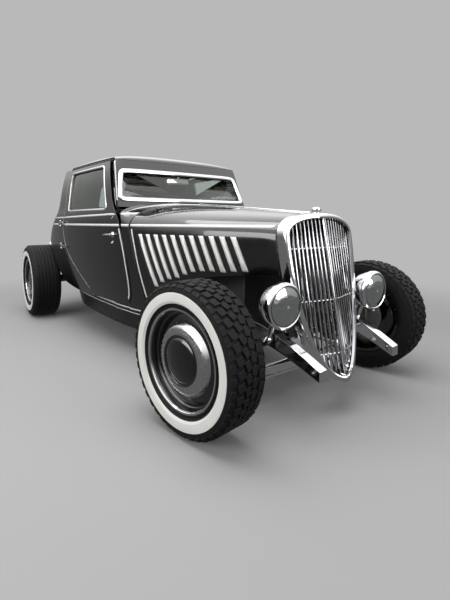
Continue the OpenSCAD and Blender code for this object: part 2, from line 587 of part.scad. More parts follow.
module hubcap_rear_left() { color(bright) rear_left() hubcap(rear_face, cap_r(rear_rim_r)); }
module hubcap_rear_right() { color(bright) rear_right() hubcap(rear_face, cap_r(rear_rim_r)); }

// ---------------------------------------------------------------- front axle and steering
kingpin_r = 10;
boss_h = 84;
axle_low = 135;
axle_t = 46;
perch_z = 276;
module front_axle() {
    top = front_tyre_r + boss_h / 2;
    low = front_tyre_r - boss_h / 2;
    half = [[0, axle_low], [300, axle_low], [380, axle_low + 40], [470, low - 8], [kingpin_y, low],
        [kingpin_y, top], [520, top], [450, low + 30], [414, perch_z], [378, perch_z],
        [352, axle_low + 76], [300, axle_low + 62],
        [0, axle_low + 56]];
    outline = concat(half, [for (k = [len(half) - 1:-1:0]) [-half[k][0], half[k][1]]]);
    color(paint) difference() {
        union() {
            translate([front_x + axle_t / 2, 0, 0]) rotate([90, 0, -90]) linear_extrude(axle_t)
                polygon(outline);
            for (side = [-1, 1]) translate([front_x, side * kingpin_y, low]) cylinder(r = 25, h = boss_h);
        }
        for (side = [-1, 1]) translate([front_x, side * kingpin_y, low - 1])
            cylinder(r = kingpin_r + 0.05, h = boss_h + 2);
        for (face = [-1, 1]) translate([front_x + face * axle_t / 2, 0, axle_low + 28])
            cube([24, 590, 30], center = true);
    }
}
arm_back = 165;
arm_z = 268;
arm_drop = 30;
module knuckle(side) {
    yoke = boss_h / 2 + 6;
    steered(side) translate([0, side * kingpin_y, 0]) {
        // kingpin and the two yoke ears
        translate([0, 0, front_tyre_r - yoke - 22]) cylinder(r = kingpin_r, h = 2 * yoke + 44);
        for (up = [-1, 1]) translate([0, 0, front_tyre_r + up * (yoke + 9)]) {
            cylinder(r = 24, h = 18, center = true);
            translate([-20, side > 0 ? 0 : -52, -9]) cube([40, 52, 18]);
        }
        translate([-34, side > 0 ? 30 : -52, front_tyre_r - yoke - 18]) cube([68, 22, 2 * yoke + 36]);
        // spindle and brake backing plate
        translate([0, 0, front_tyre_r]) {
            along_y(spindle_r, side > 0 ? 40 : -(front_y - kingpin_y + front_face + 28),
                side > 0 ? front_y - kingpin_y + front_face + 28 : -40);
            along_y(128, side > 0 ? 44 : -56, side > 0 ? 56 : -44);
        }
        // steering arm
        translate([0, 0, arm_z]) {
            translate([-arm_back, 0, -8]) cylinder(r = 17, h = 16);
            translate([-arm_back, side > 0 ? -2 : -16, -8]) cube([arm_back - 20, 18, 16]);
            translate([-34, side > 0 ? -2 : -44, -8]) cube([40, 46, 16]);
            translate([-arm_back, 0, -arm_drop - 8]) cylinder(r = 8, h = arm_drop + 4);
        }
    }
}
module knuckle_left() { color(steel_paint) knuckle(1); }
module knuckle_right() { color(steel_paint) knuckle(-1); }
tie_z = arm_z - arm_drop + 4;
module tie_rod() {
    ends = [for (side = [-1, 1]) [front_x - arm_back * cos(rest_steer), side * kingpin_y - arm_back * sin(rest_steer), tie_z]];
    color(bright) difference() {
        union() {
            rod(ends[0] + [0, 14, 0], ends[1] - [0, 14, 0], 11);
            for (e = ends) translate(e - [0, 0, 11]) cylinder(r = 17, h = 22);
        }
        for (e = ends) translate(e - [0, 0, 12]) cylinder(r = 8.06, h = 24);
    }
}
spring_z = 372;
front_drop = 70;
module front_spring() {
    color(steel_paint) union() {
        leaf_stack(front_x, spring_z, 400, front_drop, 7.8, 50, 52);
        translate([front_x - 30, -38, spring_z - 56]) cube([60, 76, 57.7]);
        for (side = [-1, 1]) translate([front_x - 23, side * 396 - 12, perch_z + 0.3])
            cube([46, 24, spring_z - front_drop - 5 - perch_z]);
    }
}
module radius_rod() {
    fork = [front_x - 560, 312, 230];
    tail = [front_x - 900, 376, 300];
    union() {
        rod([front_x - 30, 398, 288], fork + [6, 0, 0], 12);
        rod([front_x - 30, 398, 188], fork + [6, 0, -14], 12);
        translate(fork - [0, 0, 32]) cylinder(r = 27, h = 46);
        rod(fork - [9, 0, 7], tail, 16);
        translate([tail[0], 0, tail[2]]) along_y(24, 350, 399.2);
        translate([front_x - 44, 380, 170]) cube([20.7, 36, 120]);
    }
}
module radius_rods() {
    color(paint) {
        radius_rod();
        on_right() radius_rod();
    }
}

// ---------------------------------------------------------------- frame
frame_top = sill_z - 8;
// Centre line of a rail in plan, half width against b
function rail_y(b) = curve([[-overhang, 285], [0, 318], [450, 350], [900, 430], [1300, 505], [2050, 530],
    [2450, 480], [wheelbase + overhang, 440]], b);
function rail_top(b) = curve([[-overhang, 312], [-240, 392], [-60, 452], [60, 456], [300, 430], [700, frame_top],
    [1500, frame_top], [2150, frame_top], [2310, frame_top + 8], [2480, 442], [2845, 540], [3265, 490]], b);
function rail_depth(b) = curve([[-overhang, 50], [0, 90], [700, rail_h], [2100, rail_h], [2500, 100],
    [wheelbase + overhang, 60]], b);
eye_r = 9;
eye_b = 32 - overhang;
eye_z = rail_top(eye_b) - 25;
module rail() {
    stations = steps(-overhang, wheelbase + overhang, 44);
    back = [for (k = [len(stations) - 1:-1:0]) stations[k]];
    difference() {
        intersection() {
            linear_extrude(700) polygon(concat([for (b = stations) [front_x - b, rail_y(b) + rail_w / 2]],
                [for (b = back) [front_x - b, rail_y(b) - rail_w / 2]]));
            side_slab(concat([for (b = stations) [front_x - b, rail_top(b)]],
                [for (b = back) [front_x - b, rail_top(b) - rail_depth(b)]]), 200, 700);
        }
        translate([front_x - eye_b, 0, eye_z]) along_y(eye_r, 150, 700);
    }
}
// Crossmember between the rails, from b0 to b1, with its underside at z
module crossmember(b0, b1, z, h) {
    side = [for (b = steps(b0, b1, 2)) [front_x - b, rail_y(b) - rail_w / 2 - 0.6]];
    translate([0, 0, z]) linear_extrude(h) polygon(concat(side, [for (k = [2:-1:0]) [side[k][0], -side[k][1]]]));
}
spring_seat = spring_z + 2;
member_low = frame_top - rail_h + 10;
module frame_rail_left() { color(paint) rail(); }
module frame_rail_right() { color(paint) on_right() rail(); }
module frame_crossmembers() {
    color(paint) {
        crossmember(-60, 60, spring_seat, 62);
        crossmember(400, 460, engine_low - 37, 36.7);
        crossmember(1010, 1080, member_low, gearbox_z - 62.3 - member_low);
        crossmember(2040, 2110, member_low, 60);
        crossmember(wheelbase + 140, wheelbase + 215, rear_spring_z + 2, 40);
        crossmember(wheelbase + overhang - 70, wheelbase + overhang - 30, 436, 50);
    }
}

// ---------------------------------------------------------------- rear axle and running gear
module rear_axle() {
    stub = rear_y + rear_face + 28;
    color(paint) union() {
        translate([rear_x, 0, rear_tyre_r]) {
            along_y(38, -rear_y + 80, rear_y - 80);
            along_y(spindle_r, -stub, stub);
            rotate([0, 90, 0]) cylinder(r1 = 148, r2 = 96, h = 120);
            rotate([0, -90, 0]) cylinder(r1 = 148, r2 = 90, h = 90);
            along_y(130, rear_y - 92, rear_y - 80);
            along_y(130, 80 - rear_y, 92 - rear_y);
        }
        // torque tube to the gearbox
        rod([rear_x + 60, 0, rear_tyre_r], [front_x - gearbox_b - 1.5, 0, gearbox_z], 42);
    }
}
rear_spring_z = 474;
module leaf_stack(x, top, half_len, drop, leaf, width, step) {
    for (n = [0:5]) translate([x + width / 2, 0, 0]) rotate([90, 0, -90]) linear_extrude(width)
        let (w = half_len - n * step, arc = [for (k = [-4:4]) let (y = k / 4 * w) [y, top - drop * pow(y / half_len, 2) - n * leaf]])
        polygon(concat(arc, [for (k = [8:-1:0]) arc[k] - [0, leaf]]));
}
module rear_spring() {
    x = rear_x - 177;
    color(steel_paint) union() {
        leaf_stack(x, rear_spring_z, 430, 86, 8, 56, 58);
        translate([x - 34, -45, rear_spring_z - 60]) cube([68, 90, 61.7]);
        for (side = [-1, 1]) {
            translate([x - 28, side * 436 - 12, 336]) cube([56, 24, 50]);
            translate([x - 28, side * 436 - 12, 336]) cube([166.7, 24, 26]);
        }
    }
}
engine_low = 300;
gearbox_b = 1390;
gearbox_z = 322;
module engine_block() {
    color("#3a3a3c") union() {
        translate([front_x - 990, -190, engine_low]) cube([750, 380, 470]);
        translate([front_x - gearbox_b, -88, gearbox_z - 62]) cube([gearbox_b - 980, 176, 124]);
    }
}
pipe_r = 26;
module exhaust_pipes() {
    color("#8a8a8e") for (side = [-1, 1]) {
        path = [[front_x - 620, side * 222, 420], [front_x - 690, side * 270, 300],
            [front_x - 990, side * 330, 170], [front_x - 2300, side * 330, 170],
            [front_x - 2620, side * 330, 262], [rear_x - overhang + 30, side * 330, 262]];
        union() {
            for (k = [0:len(path) - 2]) rod(path[k], path[k + 1], pipe_r);
            for (k = [1:len(path) - 2]) translate(path[k]) sphere(r = pipe_r + 1.5);
            translate([front_x - 620, side * 208.3, 420]) along_y(32, -18, 18);
            // hangers to the crossmembers
            for (b = [1045, 2075]) translate([front_x - b - 10, side * 330 - 5, 190]) cube([20, 10, member_low - 190 - 0.3]);
        }
    }
}
tank_low = 372;
module fuel_tank() {
    color(paint) translate([rear_x - overhang + 30, -300, tank_low]) cube([172, 600, 435.7 - tank_low]);
}
floor_z = sill_z + 14;
trunk_z = 552;
// The floor meets the cowl and the quarters and stays clear of the doors
function floor_w(b) = side_point(b, floor_z)[1] - (b < 1040 ? wall * 0.8 + 2 : b > 2055 ? 110 : b > 1700 ? wall + 1.2 : door_wall + 12);
module floor_pan() {
    cols = [1004, 1030, 1045, 1200, 1400, 1600, 1690, 1720, 1900, 2050, 2060, 2300];
    outline = concat([for (b = cols) [front_x - b, floor_w(b)]],
        [for (k = [len(cols) - 1:-1:0]) [front_x - cols[k], -floor_w(cols[k])]]);
    trunk = [for (p = [[2290, 560], [2900, 560], [3050, 500], [3120, 400], [3190, 200]]) [front_x - p[0], p[1]]];
    t = 10;
    color("#26262a") union() {
        intersection() {
            linear_extrude(700) polygon(outline);
            // floor with a tunnel over the driveline
            translate([front_x - 2300, 0, 0]) rotate([90, 0, 90]) linear_extrude(1300) polygon([[-700, floor_z],
                [-112, floor_z], [-112, floor_z + 50], [112, floor_z + 50], [112, floor_z], [700, floor_z],
                [700, floor_z + t], [112 + t, floor_z + t], [112 + t, floor_z + 50 + t],
                [-112 - t, floor_z + 50 + t], [-112 - t, floor_z + t], [-700, floor_z + t]]);
        }
        translate([front_x - 2300, 0, 0]) rotate([90, 0, 90]) linear_extrude(t) polygon([[-560, floor_z],
            [-112, floor_z], [-112, floor_z + 50], [112, floor_z + 50], [112, floor_z], [560, floor_z],
            [560, trunk_z + 1], [-560, trunk_z + 1]]);
        translate([0, 0, trunk_z]) linear_extrude(t) polygon(concat(trunk, [for (k = [4:-1:0]) [trunk[k][0], -trunk[k][1]]]));
        // blocks that stand on the frame rails
        for (b = [1200, 1960]) for (side = [-1, 1]) let (z = max(rail_top(b - 30), rail_top(b + 30)) + 0.2)
            translate([front_x - b - 30, side * rail_y(b) - 20, z]) cube([60, 40, floor_z + 5 - z]);
        // bulkhead behind the engine
        translate([front_x - 1012, 0, 0]) rotate([90, 0, 90]) linear_extrude(8) polygon([[-500, floor_z + 50],
            [500, floor_z + 50], [530, 800], [480, 980], [300, 1040], [-300, 1040], [-480, 980], [-530, 800]]);
    }
}

// ---------------------------------------------------------------- lamps and cabin
lamp_x = 234;
lamp_y = 349;
lamp_z = 572;
boss_y = rail_y(-115) + rail_w / 2 + 0.3;
boss_z = rail_top(-140) - 36;
module headlight(side) {
    translate([front_x + lamp_x, side * lamp_y, lamp_z]) rotate([0, 90, 0]) union() {
        rotate_extrude($fn = 72) polygon([[0, -122], [34, -116], [64, -98], [86, -68], [100, -30],
            [lamp_r - 4, -8], [lamp_r, -6], [lamp_r, 12], [lamp_r - 8, 20], [lamp_r - 16, 18],
            [60, 30], [0, 34]]);
    }
    // stalk down to a boss on the frame rail
    rod([front_x + lamp_x - 60, side * lamp_y, lamp_z - 80], [front_x + 140, side * (boss_y + 16), boss_z], 14);
    translate([front_x + 140, 0, boss_z]) along_y(20, side > 0 ? boss_y : -boss_y - 32, side > 0 ? boss_y + 32 : -boss_y);
}
module headlight_left() { color(bright) headlight(1); }
module headlight_right() { color(bright) headlight(-1); }
seat_low = floor_z + 60.3;
module seat() {
    color(seat_colour) union() {
        translate([front_x - 2200, -490, seat_low]) cube([520, 980, 120]);
        translate([front_x - 2289.7, -490, seat_low]) cube([130, 980, 510]);
        for (side = [-1, 1]) translate([front_x - 2150, side * 310 - 150, floor_z + 10.3]) cube([430, 300, 51]);
    }
}
module dashboard() {
    color(paint) side_slab([[front_x - 1208.8, 1050], [front_x - 1214, 960], [front_x - 1275, 960],
        [front_x - 1290, 1035], [front_x - 1262, 1066], [front_x - 1218.3, 1075]], -530, 530);
}
module steering_wheel() {
    color("#1a1a1a") translate([front_x - 1500, 330, 900]) rotate([0, -60, 0]) union() {
        rotate_extrude($fn = 72) translate([190, 0]) circle(r = 12);
        for (a = [0, 120, 240]) rotate([0, 0, a]) rotate([0, 90, 0]) cylinder(r = 7, h = 188);
        cylinder(r = 34, h = 30, center = true);
        translate([0, 0, -552.3]) cylinder(r = 19, h = 552.3);
    }
}

frame_rail_left();
frame_rail_right();
frame_crossmembers();
front_axle();
front_spring();
radius_rods();
knuckle_left();
knuckle_right();
tie_rod();
tyre_front_left();
tyre_front_right();
tyre_rear_left();
tyre_rear_right();
wheel_front_left();
wheel_front_right();
wheel_rear_left();
wheel_rear_right();
hubcap_front_left();
hubcap_front_right();
hubcap_rear_left();
hubcap_rear_right();
rear_axle();
rear_spring();
engine_block();
exhaust_pipes();
fuel_tank();
floor_pan();
cowl();
door_left();
door_right();
quarter_left();
quarter_right();
roof();
window_panel();
deck_lid();
tail_panel();
hood_left();
hood_right();
hinge_pins();
door_hinges_left();
door_hinges_right();
lid_hinges();
grille_shell();
grille_bars();
radiator();
headlight_left();
headlight_right();
windshield_frame();
windshield_glass();
rear_glass();
door_glass_left();
door_glass_right();
seat();
dashboard();
steering_wheel();
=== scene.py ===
# Black fenderless three-window coupe hot rod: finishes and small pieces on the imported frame.
# Metres, +X forward, +Y to the car's left, +Z up, tyres standing on Z = 0.
import json
from math import cos, hypot, pi, radians, sin

import bmesh
import bpy
from mathutils import Matrix, Vector
from mathutils.bvhtree import BVHTree


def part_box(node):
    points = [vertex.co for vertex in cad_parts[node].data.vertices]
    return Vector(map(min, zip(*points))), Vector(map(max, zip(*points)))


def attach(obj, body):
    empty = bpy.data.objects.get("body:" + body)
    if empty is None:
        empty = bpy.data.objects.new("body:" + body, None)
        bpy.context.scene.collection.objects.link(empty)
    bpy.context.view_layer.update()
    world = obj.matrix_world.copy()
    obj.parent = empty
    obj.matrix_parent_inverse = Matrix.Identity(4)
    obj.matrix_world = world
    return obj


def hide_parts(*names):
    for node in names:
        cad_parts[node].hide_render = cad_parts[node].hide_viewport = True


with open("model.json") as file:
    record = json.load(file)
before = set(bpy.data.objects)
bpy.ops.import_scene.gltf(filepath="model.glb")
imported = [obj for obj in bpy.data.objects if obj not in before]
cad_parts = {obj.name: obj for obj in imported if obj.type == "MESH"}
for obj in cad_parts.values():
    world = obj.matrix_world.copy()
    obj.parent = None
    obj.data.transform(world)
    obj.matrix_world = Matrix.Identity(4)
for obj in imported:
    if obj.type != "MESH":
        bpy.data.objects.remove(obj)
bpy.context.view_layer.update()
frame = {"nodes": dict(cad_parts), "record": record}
cad = frame["nodes"]
body_of_node = {n: b for b, members in frame["record"]["behaviour"]["bodies"].items() for n in members}

# ------------ finishes


def linear(colour):
    """Linear RGBA of an sRGB hex colour."""
    parts = [int(colour[k:k + 2], 16) / 255 for k in (1, 3, 5)]
    return [v / 12.92 if v <= 0.04045 else ((v + 0.055) / 1.055) ** 2.4 for v in parts] + [1.0]


def add(tree, kind, inputs=None, **settings):
    """Adds a node with its settings, values and links, and returns it."""
    made = tree.nodes.new(kind)
    for key, value in settings.items():
        setattr(made, key, value)
    for key, value in (inputs or {}).items():
        if isinstance(value, bpy.types.NodeSocket):
            tree.links.new(value, made.inputs[key])
        else:
            made.inputs[key].default_value = value
    return made


def finish(name, colour, **inputs):
    """A material with its Principled shader set; more nodes are added by the caller."""
    material = bpy.data.materials.new(name)
    material.use_nodes = True
    tree = material.node_tree
    shader = tree.nodes["Principled BSDF"]
    shader.inputs["Base Color"].default_value = linear(colour)
    for key, value in inputs.items():
        shader.inputs[key.replace("_", " ")].default_value = value
    place = add(tree, "ShaderNodeTexCoord").outputs["Object"]
    return material, tree, shader, place


def shade_between(tree, shader, place, socket, scale, low, high, detail=4.0):
    """Lets a value or colour of the shader wander between low and high."""
    noise = add(tree, "ShaderNodeTexNoise", {"Vector": place, "Scale": scale, "Detail": detail})
    if isinstance(low, str):
        mixed = add(tree, "ShaderNodeMix", {"Factor": noise.outputs["Fac"]}, data_type="RGBA")
        mixed.inputs["A"].default_value = linear(low)
        mixed.inputs["B"].default_value = linear(high)
        tree.links.new(mixed.outputs["Result"], shader.inputs[socket])
    else:
        spread = add(tree, "ShaderNodeMapRange", {"Value": noise.outputs["Fac"], "From Min": 0.3,
                                                  "From Max": 0.7, "To Min": low, "To Max": high})
        tree.links.new(spread.outputs["Result"], shader.inputs[socket])
    return noise


def grain(tree, shader, place, scale, strength, distance=0.0005, detail=2.0):
    """Raises a fine grain; scale is how many grains there are in a metre."""
    noise = add(tree, "ShaderNodeTexNoise", {"Vector": place, "Scale": scale, "Detail": detail})
    bump = add(tree, "ShaderNodeBump", {"Height": noise.outputs["Fac"], "Strength": strength,
                                        "Distance": distance})
    tree.links.new(bump.outputs["Normal"], shader.inputs["Normal"])
    return bump


# Black enamel under clear lacquer, sprayed and polished: deep black with sharp reflections
enamel, t, s, p = finish("black_enamel", "#030304", Roughness=0.16, Coat_Weight=1.0, Coat_Roughness=0.03)
shade_between(t, s, p, "Roughness", 9, 0.12, 0.22)
grain(t, s, p, 260, 0.05, 0.0002)

# Chassis enamel, brushed on over castings: satin black, a little uneven
satin, t, s, p = finish("satin_black_enamel", "#0a0a0b", Roughness=0.42, Coat_Weight=0.3,
                        Coat_Roughness=0.25)
shade_between(t, s, p, "Roughness", 24, 0.32, 0.5)
grain(t, s, p, 420, 0.15, 0.0004)

# Pale grey enamel in narrow stripes: on the belt lines, coachlines, frame lines and louvre crowns it is a
# painted highlight for light caught along edges and creases; on the number plate and dial marks it is their
# own colour
pale_enamel_and_painted_highlights, t, s, p = finish("pale_enamel_painted_highlights", "#d6d6d3", Roughness=0.2, Coat_Weight=1.0,
                               Coat_Roughness=0.05)
shade_between(t, s, p, "Base Color", 40, "#cdcdca", "#dfdfdc")

# Chromium plate over polished steel
chrome, t, s, p = finish("polished_chrome", "#dcdcde", Metallic=1.0, Roughness=0.06)
shade_between(t, s, p, "Roughness", 30, 0.03, 0.1)

# Mild steel, brushed and gone slightly dull with heat
steel, t, s, p = finish("dull_steel", "#8d8a86", Metallic=1.0, Roughness=0.35)
shade_between(t, s, p, "Base Color", 18, "#7c7670", "#9c9a96")
shade_between(t, s, p, "Roughness", 60, 0.25, 0.5)

# Tyre rubber, moulded: matt charcoal with dust in the grain
rubber, t, s, p = finish("moulded_tyre_rubber", "#0c0c0d", Roughness=0.72, Specular_IOR_Level=0.25)
shade_between(t, s, p, "Base Color", 35, "#09090a", "#121213")
shade_between(t, s, p, "Roughness", 90, 0.6, 0.85)
grain(t, s, p, 900, 0.3, 0.0004)

# White sidewall rubber, buffed smooth
whitewall, t, s, p = finish("white_sidewall_rubber", "#dddcd8", Roughness=0.5)
shade_between(t, s, p, "Base Color", 14, "#d3d2cd", "#e5e4e1")
grain(t, s, p, 500, 0.12, 0.0003)

# Black glazing and door rubber
seal, t, s, p = finish("extruded_seal_rubber", "#101011", Roughness=0.6)
grain(t, s, p, 700, 0.2, 0.0003)

# Laminated window glass, clear with a faint green body
glass, t, s, p = finish("clear_window_glass", "#e3ebe7", Roughness=0.01, IOR=1.5, Transmission_Weight=1.0)
glass.use_backface_culling = False

# Pressed lamp glass
lens_glass, t, s, p = finish("fluted_lamp_glass", "#f2f4f2", Roughness=0.02, IOR=1.5,
                             Transmission_Weight=1.0)

# Red lamp glass
red_glass, t, s, p = finish("red_lamp_glass", "#9c0c10", Roughness=0.08, IOR=1.5, Coat_Weight=1.0,
                            Transmission_Weight=0.35)

# Pleated vinyl upholstery, off-white, calendered with a fine leather grain
hide, t, s, p = finish("offwhite_pleated_vinyl", "#c9c4b8", Roughness=0.45, Coat_Weight=0.15,
                       Coat_Roughness=0.3)
shade_between(t, s, p, "Base Color", 12, "#bdb7aa", "#d2cdc2")
pores = add(t, "ShaderNodeTexVoronoi", {"Vector": p, "Scale": 700})
bump = add(t, "ShaderNodeBump", {"Height": pores.outputs["Distance"], "Strength": 0.15, "Distance": 0.0004})
t.links.new(bump.outputs["Normal"], s.inputs["Normal"])

# Loop-pile floor carpet, charcoal
carpet, t, s, p = finish("charcoal_loop_carpet", "#1d1d1f", Roughness=0.95, Sheen_Weight=0.4)
shade_between(t, s, p, "Base Color", 180, "#151516", "#29292c")
grain(t, s, p, 320, 0.8, 0.002)

# Cast iron under engine enamel
iron, t, s, p = finish("painted_cast_iron", "#2a2b2d", Roughness=0.5)
shade_between(t, s, p, "Base Color", 30, "#232426", "#343538")
grain(t, s, p, 260, 0.4, 0.001)

# Moulded black phenolic for the steering wheel rim
phenolic, t, s, p = finish("moulded_black_phenolic", "#0d0d0e", Roughness=0.25, Coat_Weight=0.4)
shade_between(t, s, p, "Roughness", 40, 0.2, 0.35)

# Dull black core of the radiator behind the bars
core_paint, t, s, p = finish("radiator_core_black", "#08080a", Roughness=0.8)
fins = add(t, "ShaderNodeTexWave", {"Vector": p, "Scale": 60, "Distortion": 0.0}, bands_direction="Z")
bump = add(t, "ShaderNodeBump", {"Height": fins.outputs["Fac"], "Strength": 0.6, "Distance": 0.002})
t.links.new(bump.outputs["Normal"], s.inputs["Normal"])

# Flat black standing in for the hollows behind the louvre slots and in the exhaust bore: painted shade
flat_black_painted_shade, t, s, p = finish("shadow_black", "#030303", Roughness=0.9)
shade_between(t, s, p, "Roughness", 50, 0.85, 0.95)
# Polished aluminium, turned and buffed
alloy, t, s, p = finish("buffed_aluminium", "#c9cacc", Metallic=1.0, Roughness=0.22)
shade_between(t, s, p, "Roughness", 70, 0.16, 0.3)

# Dial faces: matt black card under glass
dial_card, t, s, p = finish("dial_card_black", "#101112", Roughness=0.35, Coat_Weight=1.0,
                            Coat_Roughness=0.02)
shade_between(t, s, p, "Roughness", 80, 0.3, 0.4)

# ------------ helpers


def piece(bm, name, materials, body, angle=35.0):
    """Makes an object from a bmesh, smooth shaded with sharp edges past the angle, riding on a body."""
    materials = materials if isinstance(materials, (list, tuple)) else [materials]
    mesh = bpy.data.meshes.new(name)
    bm.to_mesh(mesh)
    bm.free()
    for material in materials:
        mesh.materials.append(material)
    mesh.shade_smooth()
    mesh.set_sharp_from_angle(angle=radians(angle))
    made = bpy.data.objects.new(name, mesh)
    bpy.context.scene.collection.objects.link(made)
    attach(made, body)
    return made


def merged(node):
    """A closed bmesh of a CAD node."""
    bm = bmesh.new()
    bm.from_mesh(cad[node].data)
    bmesh.ops.remove_doubles(bm, verts=bm.verts, dist=2e-5)
    bmesh.ops.dissolve_degenerate(bm, edges=bm.edges, dist=1e-6)
    return bm


def dressed(node, materials, levels=0, edge=0.0, angle=35.0, second=None):
    """The CAD node in its finish, smooth shaded; a gridded panel is rounded by levels of subdivision.

    second says which faces, by centre and normal, take the second material.
    """
    bm = merged(node)
    if second:
        for f in bm.faces:
            if second(f.calc_center_median(), f.normal):
                f.material_index = 1
    if levels:
        bmesh.ops.join_triangles(bm, faces=bm.faces, angle_face_threshold=radians(30),
                                 angle_shape_threshold=radians(70))
        crease = bm.edges.layers.float.new("crease_edge")
        for e in bm.edges:
            if len(e.link_faces) == 2 and e.calc_face_angle() > radians(48):
                e[crease] = 1.0
    made = piece(bm, node + "_finished", materials, body_of_node[node], angle)
    if levels:
        rounding = made.modifiers.new("rounding", "SUBSURF")
        rounding.levels = rounding.render_levels = levels
    if edge:
        soft = made.modifiers.new("edge", "BEVEL")
        soft.width, soft.segments, soft.limit_method = edge, 2, "ANGLE"
        soft.angle_limit = radians(40)
    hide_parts(node)
    return made


def sheet(cells, place, name, material, body, thickness=0.0015, angle=35.0, wrapped=False):
    """A grid of cells laid where place(u, v) says, given its thickness; wrapped joins its two ends."""
    bm = bmesh.new()
    bmesh.ops.create_grid(bm, x_segments=cells[0], y_segments=cells[1], size=1.0)
    for v in bm.verts:
        v.co = place((v.co.x + 1) / 2, (v.co.y + 1) / 2)
    if wrapped:
        bmesh.ops.remove_doubles(bm, verts=bm.verts, dist=1e-5)
    bmesh.ops.recalc_face_normals(bm, faces=bm.faces)
    made = piece(bm, name, material, body, angle)
    skin = made.modifiers.new("thickness", "SOLIDIFY")
    skin.thickness, skin.offset, skin.use_even_offset = thickness, 0.0, False
    return made


def bead(points, radius, name, material, body, closed=False, angle=50.0):
    """A round bead along points, with closed ends."""
    path = bpy.data.curves.new(name + "_path", "CURVE")
    path.dimensions, path.bevel_depth, path.bevel_resolution, path.use_fill_caps = "3D", radius, 3, True
    line = path.splines.new("POLY")
    line.points.add(len(points) - 1)
    for spot, at in zip(line.points, points):
        spot.co = (*at, 1.0)
    line.use_cyclic_u = closed
    holder = bpy.data.objects.new(name + "_path", path)
    mesh = bpy.data.meshes.new_from_object(holder)
    bpy.data.objects.remove(holder)
    bm = bmesh.new()
    bm.from_mesh(mesh)
    bpy.data.meshes.remove(mesh)
    bmesh.ops.remove_doubles(bm, verts=bm.verts, dist=1e-6)
    bmesh.ops.recalc_face_normals(bm, faces=bm.faces)
    return piece(bm, name, material, body, angle)


def turned(profile, centre, axis, steps=64, closed=True):
    """A bmesh turned from a profile of (distance out along the axis, radius)."""
    bm = bmesh.new()
    ring = [bm.verts.new((r, 0, a)) for a, r in profile]
    edges = [bm.edges.new(pair) for pair in zip(ring, ring[1:])]
    if closed:
        edges.append(bm.edges.new((ring[-1], ring[0])))
    bmesh.ops.spin(bm, geom=ring + edges, cent=(0, 0, 0), axis=(0, 0, 1), angle=2 * pi, steps=steps,
                   use_merge=True)
    bmesh.ops.remove_doubles(bm, verts=bm.verts, dist=1e-6)
    bmesh.ops.recalc_face_normals(bm, faces=bm.faces)
    bmesh.ops.transform(bm, verts=bm.verts, matrix=Matrix.Translation(centre) @ facing(axis))
    return bm


def lathe(name, material, body, centre, axis, profile, steps=64, closed=True):
    """A turned piece that rides on a body."""
    return piece(turned(profile, centre, axis, steps, closed), name, material, body)


def facing(axis):
    """Rotation that takes +Z to the axis."""
    return Vector(axis).to_track_quat("Z", "Y").to_matrix().to_4x4()


joints = {j["name"]: j for j in frame["record"]["behaviour"]["joints"]}
rear_x = joints["spin_rear_left"]["pos_m"][0]
front_x = -rear_x
seat_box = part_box("seat")
cabin = Vector((-0.35, 0, 0.85))
sides = {"left": 1, "right": -1}


def lining(at, normal):
    """Faces that look into the cabin."""
    return normal.dot((cabin - at).normalized()) > 0.5


# ------------ body panels
panels = {}
for name in ("door_left", "door_right", "quarter_left", "quarter_right", "roof", "window_panel"):
    panels[name] = dressed(name, [enamel, hide], levels=2, edge=0.0012, second=lining)
for name in ("cowl", "deck_lid", "tail_panel", "hood_left", "hood_right"):
    panels[name] = dressed(name, enamel, levels=2, edge=0.0012)
dressed("grille_shell", chrome, levels=2)
for name in ("rear_glass", "door_glass_left", "door_glass_right"):
    dressed(name, glass, levels=1)
dressed("windshield_glass", glass)
panels["windshield_frame"] = dressed("windshield_frame", enamel, edge=0.003)
for name in cad:
    if name.startswith("frame"):
        # The horns ahead of the front crossmember are bright
        panels[name] = dressed(name, [satin, chrome], edge=0.002,
                               second=lambda at, normal: at.x > front_x + 0.17)
for name in ("front_spring", "rear_axle", "rear_spring", "fuel_tank"):
    dressed(name, satin, edge=0.002)
spindle_z = joints["spin_front_left"]["pos_m"][2]
for name in ("knuckle_left", "knuckle_right"):
    dressed(name, [satin, steel], edge=0.0015, second=lambda at, normal: abs(normal.z) < 0.9
            and hypot(at.x - front_x, at.z - spindle_z) < 0.14)
for name in ("tie_rod", "grille_bars", "headlight_left", "headlight_right", "hinge_pins", "front_axle",
             "radius_rods", "door_hinges_left", "door_hinges_right", "lid_hinges"):
    dressed(name, chrome, edge=0.0006)
dressed("radiator", core_paint, edge=0.004)
dressed("engine_block", iron, edge=0.01)
dressed("exhaust_pipes", steel)
dressed("floor_pan", carpet)
dressed("dashboard", enamel, edge=0.004)
wheel_axis = Vector((-sin(radians(60)), 0, cos(radians(60))))
wheel_centre = Vector((front_x - 1.5, 0.33, 0.9))


def not_rim(at, normal):
    """Spokes and hub, inside the steering wheel's rim."""
    arm = at - wheel_centre
    return (arm - wheel_axis * arm.dot(wheel_axis)).length < 0.165


dressed("steering_wheel", [phenolic, chrome], second=not_rim)

# ------------ places on the finished panels
bpy.context.view_layer.update()
depsgraph = bpy.context.evaluated_depsgraph_get()
trees = {name: BVHTree.FromObject(made, depsgraph) for name, made in panels.items()}


def touch(node, x, z, side, lift=0.0):
    """Point on the outside of a panel at x and z, lifted off it, with its normal; None past its edge."""
    at, normal, _, _ = trees[node].ray_cast(Vector((x, side * 1.2, z)), Vector((0, -side, 0)))
    return (at + normal * lift, normal) if at and at.y * side > 0.05 else None


def reach(node, x, z, side, lift=0.0):
    """As touch, but past the panel's edge the nearest point of the panel instead."""
    found = touch(node, x, z, side, lift)
    if found:
        return found
    at, normal, _, _ = trees[node].find_nearest(Vector((x, side * 0.9, z)))
    return at + Vector((0, side * lift, 0)), Vector((0, side, 0))


def edge_run(node, xs, height, side):
    """First and last of xs where the panel is met, or None."""
    met = [x for x in xs if touch(node, x, height(x), side)]
    return (met[0], met[-1]) if len(met) > 3 else None


